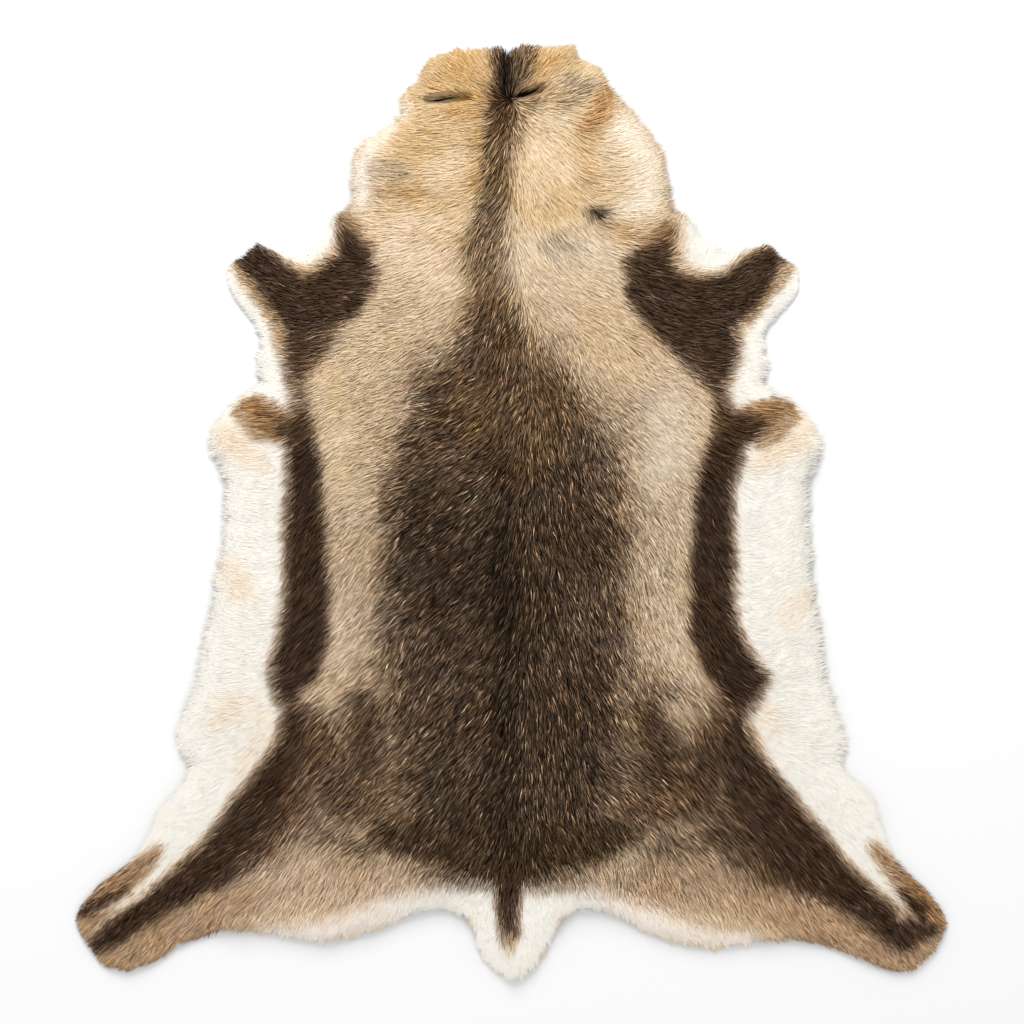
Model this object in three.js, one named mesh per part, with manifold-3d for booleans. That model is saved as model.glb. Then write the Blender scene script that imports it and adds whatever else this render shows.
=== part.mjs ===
import * as THREE from "three";
import { mergeVertices } from "three/addons/utils/BufferGeometryUtils.js";
import Module from "manifold-3d";

// A reindeer hide, tanned with its winter coat on and laid flat with the hair side up.
// Millimetres, +Z up. The flesh side lies at z = 0, the neck is towards +Y and the tail towards -Y.

// Driving dimensions
const outlineStep = 19; // between points along the outline
const gridStep = 23; // between points of the hair's surface
const commonPile = 27; // depth of the lying coat where no zone says otherwise
const tuftHeight = 2.2; // how far the locks of hair rise and fall
const furrowDepth = 2.5; // the shallow dip along the backbone
const furrowWidth = 26;
const clearBelow = 15; // how far a cutting body runs past the ground
const clearAbove = 70; // and past the tallest hair

// The outline, named as on the animal, at each side of the backbone from neck to tail.
const pollNotch = [-4, 572];
const tailTip = [1, -585];
const landmarks = [
  { place: "crest", left: [-15, 582], right: [12, 584] },
  { place: "brow", left: [-41, 576], right: [38, 579] },
  { place: "ear front", left: [-70, 576], right: [79, 582] },
  { place: "ear tip", left: [-101, 564], right: [84, 564] },
  { place: "ear base", left: [-114, 540], right: [111, 552] },
  { place: "cheek front", left: [-135, 515], right: [120, 535] },
  { place: "cheek", left: [-134, 492], right: [132, 516] },
  { place: "neck front", left: [-185, 458], right: [178, 464] },
  { place: "neck", left: [-198, 430], right: [192, 434] },
  { place: "neck rear", left: [-194, 400], right: [196, 396] },
  { place: "shoulder nick", left: [-200, 376], right: [201, 370] },
  { place: "shoulder point", left: [-216, 368], right: [218, 366] },
  { place: "fore bay front", left: [-230, 350], right: [234, 342] },
  { place: "fore bay tuft", left: [-239, 331], right: [255, 336] },
  { place: "fore bay floor", left: [-264, 320], right: [264, 320] },
  { place: "fore bay rear", left: [-290, 324], right: [294, 326] },
  { place: "foreleg front corner", left: [-315, 336], right: [322, 335] },
  { place: "foreleg end", left: [-335, 320], right: [341, 316] },
  { place: "foreleg rear corner", left: [-355, 305], right: [360, 304] },
  { place: "elbow", left: [-354, 282], right: [358, 276] },
  { place: "armpit front", left: [-312, 221], right: [314, 220] },
  { place: "armpit", left: [-316, 188], right: [320, 188] },
  { place: "armpit rear", left: [-311, 160], right: [314, 156] },
  { place: "flap front", left: [-339, 140], right: [345, 138] },
  { place: "flap corner", left: [-374, 92], right: [386, 86] },
  { place: "belly front", left: [-355, 38], right: [369, 32] },
  { place: "flank front", left: [-388, -198], right: [392, -210] },
  { place: "flank tip", left: [-415, -288], right: [416, -288] },
  { place: "stifle", left: [-399, -322], right: [410, -319] },
  { place: "thigh", left: [-435, -370], right: [451, -358] },
  { place: "hock front", left: [-469, -430], right: [474, -426] },
  { place: "shank front", left: [-509, -460], right: [518, -471] },
  { place: "hoof front corner", left: [-542, -508], right: [545, -514] },
  { place: "hoof rear corner", left: [-499, -572], right: [500, -575] },
  { place: "shank rear", left: [-456, -568], right: [455, -566] },
  { place: "hock rear", left: [-401, -536], right: [389, -541] },
  { place: "buttock hollow", left: [-320, -521], right: [321, -534] },
  { place: "buttock", left: [-239, -535], right: [248, -542] },
  { place: "hem", left: [-166, -520], right: [176, -525] },
  { place: "hem bay front", left: [-121, -501], right: [124, -500] },
  { place: "hem bay", left: [-80, -495], right: [84, -495] },
  { place: "tail root", left: [-51, -512], right: [58, -518] },
  { place: "tail side", left: [-39, -545], right: [42, -545] },
  { place: "tail corner", left: [-18, -571], right: [26, -571] },
];

// The hair lies over the skin's edge: its height above the ground and its distance inside the outline.
const edgeRoll = [
  { height: 0, inset: 5 },
  { height: 4, inset: 0 },
  { height: 12, inset: 6 },
  { height: 21, inset: 17 },
  { height: 29, inset: 32 },
  { height: clearAbove, inset: 34 },
];
const mostInsetShare = 0.36; // of the width there, so that opposite edges never meet
const cornerShare = 0.62; // of a corner's radius, so that the roll never folds over itself

// How deep the coat lies over the parts of the body.
const pileZones = [
  { place: "poll", x: 0, y: 540, reach: 75, pile: 25 },
  { place: "neck left", x: -125, y: 430, reach: 100, pile: 37 },
  { place: "neck right", x: 130, y: 430, reach: 100, pile: 38 },
  { place: "foreleg left", x: -320, y: 290, reach: 62, pile: 14 },
  { place: "foreleg right", x: 325, y: 287, reach: 62, pile: 14 },
  { place: "flap left", x: -330, y: 90, reach: 75, pile: 32 },
  { place: "flap right", x: 335, y: 85, reach: 75, pile: 32 },
  { place: "belly left", x: -335, y: -150, reach: 110, pile: 35 },
  { place: "belly right", x: 345, y: -150, reach: 110, pile: 35 },
  { place: "thigh left", x: -350, y: -360, reach: 80, pile: 31 },
  { place: "thigh right", x: 360, y: -350, reach: 80, pile: 31 },
  { place: "back", x: 0, y: -60, reach: 190, pile: 25 },
  { place: "rump", x: 0, y: -400, reach: 120, pile: 27 },
  { place: "shank left", x: -480, y: -510, reach: 75, pile: 14 },
  { place: "shank right", x: 485, y: -515, reach: 75, pile: 14 },
  { place: "tail", x: 0, y: -550, reach: 50, pile: 24 },
];
const commonWeight = 0.25; // how strongly the common depth is mixed in

// The two slits where the ears were, cut right through the skin.
const earSlits = [
  { place: "left ear", from: [-104, 514], to: [-16, 520], width: 5, sag: 2 },
  { place: "right ear", from: [1, 517], to: [47, 530], width: 4, sag: -3 },
];
const slitSteps = 8;

const wasm = await Module();
wasm.setup();

// A closed geometry as a solid.
function solidOf(geometry) {
  const bare = geometry.clone();
  bare.deleteAttribute("normal");
  bare.deleteAttribute("uv");
  const merged = mergeVertices(bare, 1e-3);
  return new wasm.Manifold(
    new wasm.Mesh({
      numProp: 3,
      vertProperties: new Float32Array(merged.attributes.position.array),
      triVerts: new Uint32Array(merged.index.array),
    }),
  );
}

// A solid as a geometry with flat faces.
function geometryOf(solid) {
  const mesh = solid.getMesh();
  const indexed = new THREE.BufferGeometry();
  indexed.setAttribute("position", new THREE.BufferAttribute(mesh.vertProperties, 3));
  indexed.setIndex(new THREE.BufferAttribute(mesh.triVerts, 1));
  const geometry = indexed.toNonIndexed();
  geometry.computeVertexNormals();
  return geometry;
}

// The hide's edge as seen from above, counterclockwise, with every landmark on it.
function hideOutline() {
  const leftSide = landmarks.map(({ left }) => left);
  const rightSide = landmarks.map(({ right }) => right).reverse();
  const corners = [pollNotch, ...leftSide, tailTip, ...rightSide];
  const knots = corners.map(([x, y]) => new THREE.Vector3(x, y, 0));
  const curve = new THREE.CatmullRomCurve3(knots, true, "centripetal");
  const outline = [];
  knots.forEach((knot, i) => {
    const next = knots[(i + 1) % knots.length];
    const parts = Math.max(1, Math.round(knot.distanceTo(next) / outlineStep));
    for (let part = 0; part < parts; part += 1) {
      const point = curve.getPoint((i + part / parts) / knots.length);
      outline.push(new THREE.Vector2(point.x, point.y));
    }
  });
  return outline;
}

// The direction into the hide at each point of the outline, from the neighbours on both sides.
function inwardNormals(outline) {
  const count = outline.length;
  return outline.map((point, i) => {
    const along = new THREE.Vector2();
    for (const reach of [1, 2]) {
      const before = outline[(i - reach + count) % count];
      const after = outline[(i + reach) % count];
      along.add(after.clone().sub(before).normalize());
    }
    along.normalize();
    return new THREE.Vector2(-along.y, along.x);
  });
}

// How far it is from an outline point, going inwards, to the edge on the other side.
function widthAcross(outline, normals, i) {
  const count = outline.length;
  const from = outline[i];
  const into = normals[i];
  let nearest = Infinity;
  for (let skip = 2; skip < count - 2; skip += 1) {
    const start = outline[(i + skip) % count];
    const side = outline[(i + skip + 1) % count].clone().sub(start);
    const gap = start.clone().sub(from);
    const facing = into.cross(side);
    const alongRay = gap.cross(side) / facing;
    const alongSide = gap.cross(into) / facing;
    if (alongRay > 1 && alongSide >= 0 && alongSide <= 1) {
      nearest = Math.min(nearest, alongRay);
    }
  }
  return nearest;
}

// The radius of the outline where it bulges outwards, and no limit where it is straight or hollow.
function cornerRadius(outline, i) {
  const count = outline.length;
  const before = outline[(i - 1 + count) % count];
  const here = outline[i];
  const after = outline[(i + 1) % count];
  const arriving = here.clone().sub(before);
  const leaving = after.clone().sub(here);
  const turn = Math.atan2(arriving.cross(leaving), arriving.dot(leaving));
  const length = (arriving.length() + leaving.length()) / 2;
  return turn > 0 ? length / turn : Infinity;
}

// The most that the roll may come in at each outline point, evened out along the edge.
function insetLimits(outline, normals) {
  const count = outline.length;
  const limits = outline.map((point, i) =>
    Math.min(
      mostInsetShare * widthAcross(outline, normals, i),
      cornerShare * cornerRadius(outline, i) + 2,
      edgeRoll.at(-1).inset,
    ),
  );
  const neighbours = (values, i) => [-2, -1, 0, 1, 2].map((k) => values[(i + k + count) % count]);
  const least = limits.map((limit, i) => Math.min(...neighbours(limits, i)));
  return least.map((limit, i) => neighbours(least, i).reduce((sum, value) => sum + value) / 5);
}

// The hide's outline raised as a tall body whose side follows the roll of hair at the edge.
function edgeRolledBody(outline) {
  const count = outline.length;
  const normals = inwardNormals(outline);
  const limits = insetLimits(outline, normals);
  const rings = edgeRoll.map(({ height, inset }) =>
    outline.map((point, i) => {
      const moved = point.clone().addScaledVector(normals[i], Math.min(inset, limits[i]));
      return [moved.x, moved.y, height];
    }),
  );
  const index = [];
  for (let ring = 0; ring + 1 < rings.length; ring += 1) {
    for (let i = 0; i < count; i += 1) {
      const low = ring * count + i;
      const lowNext = ring * count + ((i + 1) % count);
      index.push(low, lowNext, lowNext + count, low, lowNext + count, low + count);
    }
  }
  const lidOf = (ring) => {
    const flat = ring.map(([x, y]) => new THREE.Vector2(x, y));
    return THREE.ShapeUtils.triangulateShape(flat, []);
  };
  const top = (rings.length - 1) * count;
  lidOf(rings[0]).forEach(([a, b, c]) => index.push(c, b, a));
  lidOf(rings.at(-1)).forEach(([a, b, c]) => index.push(top + a, top + b, top + c));
  const geometry = new THREE.BufferGeometry();
  geometry.setAttribute("position", new THREE.Float32BufferAttribute(rings.flat(2), 3));
  geometry.setIndex(index);
  return solidOf(geometry);
}

// The depth of the coat at a place: the zones' depths, each weighing less with distance, and the tufts.
function pileAt(x, y) {
  let weightSum = commonWeight;
  let pileSum = commonWeight * commonPile;
  for (const zone of pileZones) {
    const away = Math.hypot(x - zone.x, y - zone.y) / zone.reach;
    const weight = Math.exp(-away * away);
    weightSum += weight;
    pileSum += weight * zone.pile;
  }
  const side = Math.abs(x);
  const tufts = Math.sin(x / 19 + Math.sin(y / 47)) * Math.sin(y / 23 + Math.sin(x / 31) + side / 60);
  const furrow = Math.exp(-((x / furrowWidth) ** 2));
  return pileSum / weightSum + tuftHeight * tufts - furrowDepth * furrow;
}

// A block below the hair's surface, whose top is a grid of points at the coat's depth.
function coatBlock(outline) {
  const box = new THREE.Box2().setFromPoints(outline);
  const size = box.getSize(new THREE.Vector2());
  const columns = Math.ceil(size.x / gridStep) + 1;
  const rows = Math.ceil(size.y / gridStep) + 1;
  const width = columns * gridStep;
  const length = rows * gridStep;
  const geometry = new THREE.BoxGeometry(width, length, 1, columns, rows, 1);
  const centre = box.getCenter(new THREE.Vector2());
  geometry.translate(centre.x, centre.y, 0);
  const points = geometry.attributes.position;
  for (let i = 0; i < points.count; i += 1) {
    const level = points.getZ(i) > 0 ? pileAt(points.getX(i), points.getY(i)) : -clearBelow;
    points.setZ(i, level);
  }
  return solidOf(geometry);
}

// One ear slit: a thin lens between its two ends, bowed a little, cut from top to bottom.
function slitBody({ from, to, width, sag }) {
  const start = new THREE.Vector2(...from);
  const along = new THREE.Vector2(...to).sub(start);
  const across = new THREE.Vector2(-along.y, along.x).normalize();
  const edgePoint = (share, side) => {
    const bulge = Math.sin(Math.PI * share);
    return start
      .clone()
      .addScaledVector(along, share)
      .addScaledVector(across, bulge * (sag + (side * width) / 2));
  };
  const rim = [];
  for (let step = 0; step <= slitSteps; step += 1) rim.push(edgePoint(step / slitSteps, -1));
  for (let step = slitSteps - 1; step > 0; step -= 1) rim.push(edgePoint(step / slitSteps, 1));
  const depth = clearBelow + clearAbove;
  const geometry = new THREE.ExtrudeGeometry(new THREE.Shape(rim), { depth, bevelEnabled: false });
  geometry.translate(0, 0, -clearBelow);
  return solidOf(geometry);
}

// The hide: its rolled edge and its coat's surface together, with the ear slits cut out.
function hideSolid() {
  const outline = hideOutline();
  const whole = edgeRolledBody(outline).intersect(coatBlock(outline));
  return earSlits.reduce((solid, slit) => solid.subtract(slitBody(slit)), whole);
}

const coat = new THREE.MeshStandardMaterial({ color: 0x6f5a43, roughness: 0.95, metalness: 0 });
const hide = new THREE.Mesh(geometryOf(hideSolid()), coat);
hide.name = "hide";

// The middle of the hide's box stands over the origin.
const middle = new THREE.Box3().setFromObject(hide).getCenter(new THREE.Vector3());
hide.position.set(-middle.x, -middle.y, 0);

const part = new THREE.Group();
part.add(hide);

export default part;
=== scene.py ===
# A reindeer hide, tanned with its winter coat on, laid flat with the hair side up.
# Metres, +Z up: the flesh side lies at z = 0, the neck is towards +Y and the tail towards -Y.
import math
import bpy
import numpy as np
from mathutils.geometry import tessellate_polygon
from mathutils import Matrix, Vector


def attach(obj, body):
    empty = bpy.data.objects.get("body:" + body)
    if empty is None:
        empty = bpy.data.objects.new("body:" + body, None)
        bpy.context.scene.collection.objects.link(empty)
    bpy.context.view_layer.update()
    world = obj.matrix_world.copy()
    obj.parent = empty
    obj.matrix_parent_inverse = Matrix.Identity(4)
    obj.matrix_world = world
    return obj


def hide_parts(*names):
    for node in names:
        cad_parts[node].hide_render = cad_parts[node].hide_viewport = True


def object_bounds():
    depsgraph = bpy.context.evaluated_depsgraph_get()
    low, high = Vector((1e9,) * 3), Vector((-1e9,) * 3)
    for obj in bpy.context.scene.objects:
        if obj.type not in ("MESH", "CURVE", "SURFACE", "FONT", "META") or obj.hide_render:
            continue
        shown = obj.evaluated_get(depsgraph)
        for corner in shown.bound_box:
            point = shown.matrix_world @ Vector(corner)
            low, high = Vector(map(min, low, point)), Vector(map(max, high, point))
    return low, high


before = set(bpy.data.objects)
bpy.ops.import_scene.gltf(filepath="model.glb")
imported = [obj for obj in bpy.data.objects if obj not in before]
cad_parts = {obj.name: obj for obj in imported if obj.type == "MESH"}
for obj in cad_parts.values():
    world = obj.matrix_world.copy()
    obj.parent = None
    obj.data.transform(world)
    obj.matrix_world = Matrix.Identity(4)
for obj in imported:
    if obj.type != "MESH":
        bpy.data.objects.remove(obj)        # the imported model, with its one node, hide
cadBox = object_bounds()

mm = 0.001
rowBody = "root"         # a hide has no joints, so all of it rides on one body

# The coat's maps: where its edge is, how deep it lies, which way it lies and its colours.

mapping = {
    "step": 3 * mm,          # between the points of the maps
    "margin": 24 * mm,       # how far they run past the hide
    "edgeHeight": 4.5 * mm,  # a low value thins the hair out sooner at the edge
    "edgeRise": 10 * mm,     # how far inside the edge the coat comes to its full depth
    "tuftHeight": 2.2 * mm,
    "tuftNoise": ((38 * mm, 1, 21), (15 * mm, 0.6, 22)),   # size, share and seed of each noise
    "slitDip": 0.8,          # share of its depth that the coat loses beside a slit
    "slitReach": 5 * mm,
    "lowest": 1.5 * mm,      # the coat is never lower
    "plainDepth": 21,        # the depth and length that the zones fade to, in millimetres
    "plainWeight": 1e-3,
    "edgeTurn": 0.3,         # how far the hair turns outwards at the edge, and within what distance
    "edgeTurnReach": 14 * mm,
    "turnNoise": ((46 * mm, 8, 31), (17 * mm, 7, 32)),     # size, degrees and seed
    "borderNoise": ((32 * mm, 0.7, 41), (11 * mm, 0.3, 42)),  # size, share and seed
    "borderDrift": 0.4,      # how far it shifts a marking's border, as a share of its softness
    "rimWarmth": 2.6,
    "rimFall": 1.5,          # a rim fades out over dark hair by this power
}
far = 9.0                    # metres, more than any distance on the hide
tiny = 1e-9                  # keeps a length from being nothing

# Depth of the lying coat and length of its hair over the parts of the body:
# x, y, reach, depth, hair, all in millimetres from the middle of the hide. Both sides are alike.
coatZones = [
    ("poll", 0, 540, 75, 23, 15), ("neck", 130, 430, 105, 32, 23), ("foreleg", 322, 290, 62, 13, 12),
    ("foreBay", 265, 300, 24, 18, 20), ("armpit", 300, 185, 36, 24, 22), ("flap", 332, 88, 75, 29, 27),
    ("belly", 340, -150, 110, 31, 28), ("flankBand", 256, -40, 50, 22, 16),
    ("thigh", 355, -355, 80, 27, 25), ("back", 0, -60, 190, 23, 16.5), ("rump", 0, -400, 120, 25, 16.5),
    ("shank", 482, -512, 75, 14, 14), ("hem", 240, -520, 60, 24, 22), ("tail", 0, -550, 50, 23, 21),
]

# The slits where the ears were: from, to, the width between their lips, all in millimetres, and the
# share of their length that the hair leaves open.
earSlits = [
    ("leftEar", (-105, 512.5), (-22, 519), 3.2, 0.62),
    ("rightEar", (1, 517), (36, 526), 3.5, 1),
]

# Colour of each kind of hair, and the share of it that is thin pale guard hairs, which also sets how
# much its shades differ from hair to hair.
palette = {
    "tan": ("#c2ab8d", 0.01), "gold": ("#d0b58b", 0), "paleGold": ("#d5be99", 0),
    "ochre": ("#a87f50", 0.01), "orange": ("#c49961", 0), "deepOrange": ("#bb8146", 0),
    "white": ("#f2f0ea", 0), "cream": ("#f1e9df", 0), "warmCream": ("#e6d2b9", 0),
    "greyHair": ("#938269", 0.015), "paleGrey": ("#d8cab5", 0), "spine": ("#4f3422", 0.015),
    "spineMid": ("#634b34", 0.02), "spineEdge": ("#71563a", 0.02), "saddle": ("#463325", 0.03),
    "saddleSide": ("#735a43", 0.025), "saddleWarm": ("#5b4127", 0.02), "saddleDark": ("#271a10", 0.02),
    "saddleGrey": ("#544232", 0.03), "hip": ("#573e2b", 0.025), "rump": ("#46321f", 0.02),
    "band": ("#3e2a1d", 0.006), "foreleg": ("#452f22", 0.006), "legDark": ("#402b1e", 0.008),
    "beige": ("#b0957a", 0.012), "side": ("#ab967d", 0.018), "sideLight": ("#c8b59d", 0.01),
    "legTan": ("#a48466", 0.01), "footTan": ("#926b47", 0.01), "hem": ("#f0e8e0", 0),
    "elbowBrown": ("#845932", 0.008), "hipBrown": ("#45301f", 0.015), "deepGold": ("#c49a61", 0),
    "hipSoft": ("#5a432f", 0.02), "elbowOrange": ("#a07a50", 0), "tipTan": ("#b3956f", 0),
    "black": ("#221810", 0), "rimTan": ("#b3855a", 0), "guardTip": ("#b5a386", 0),
}

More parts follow.
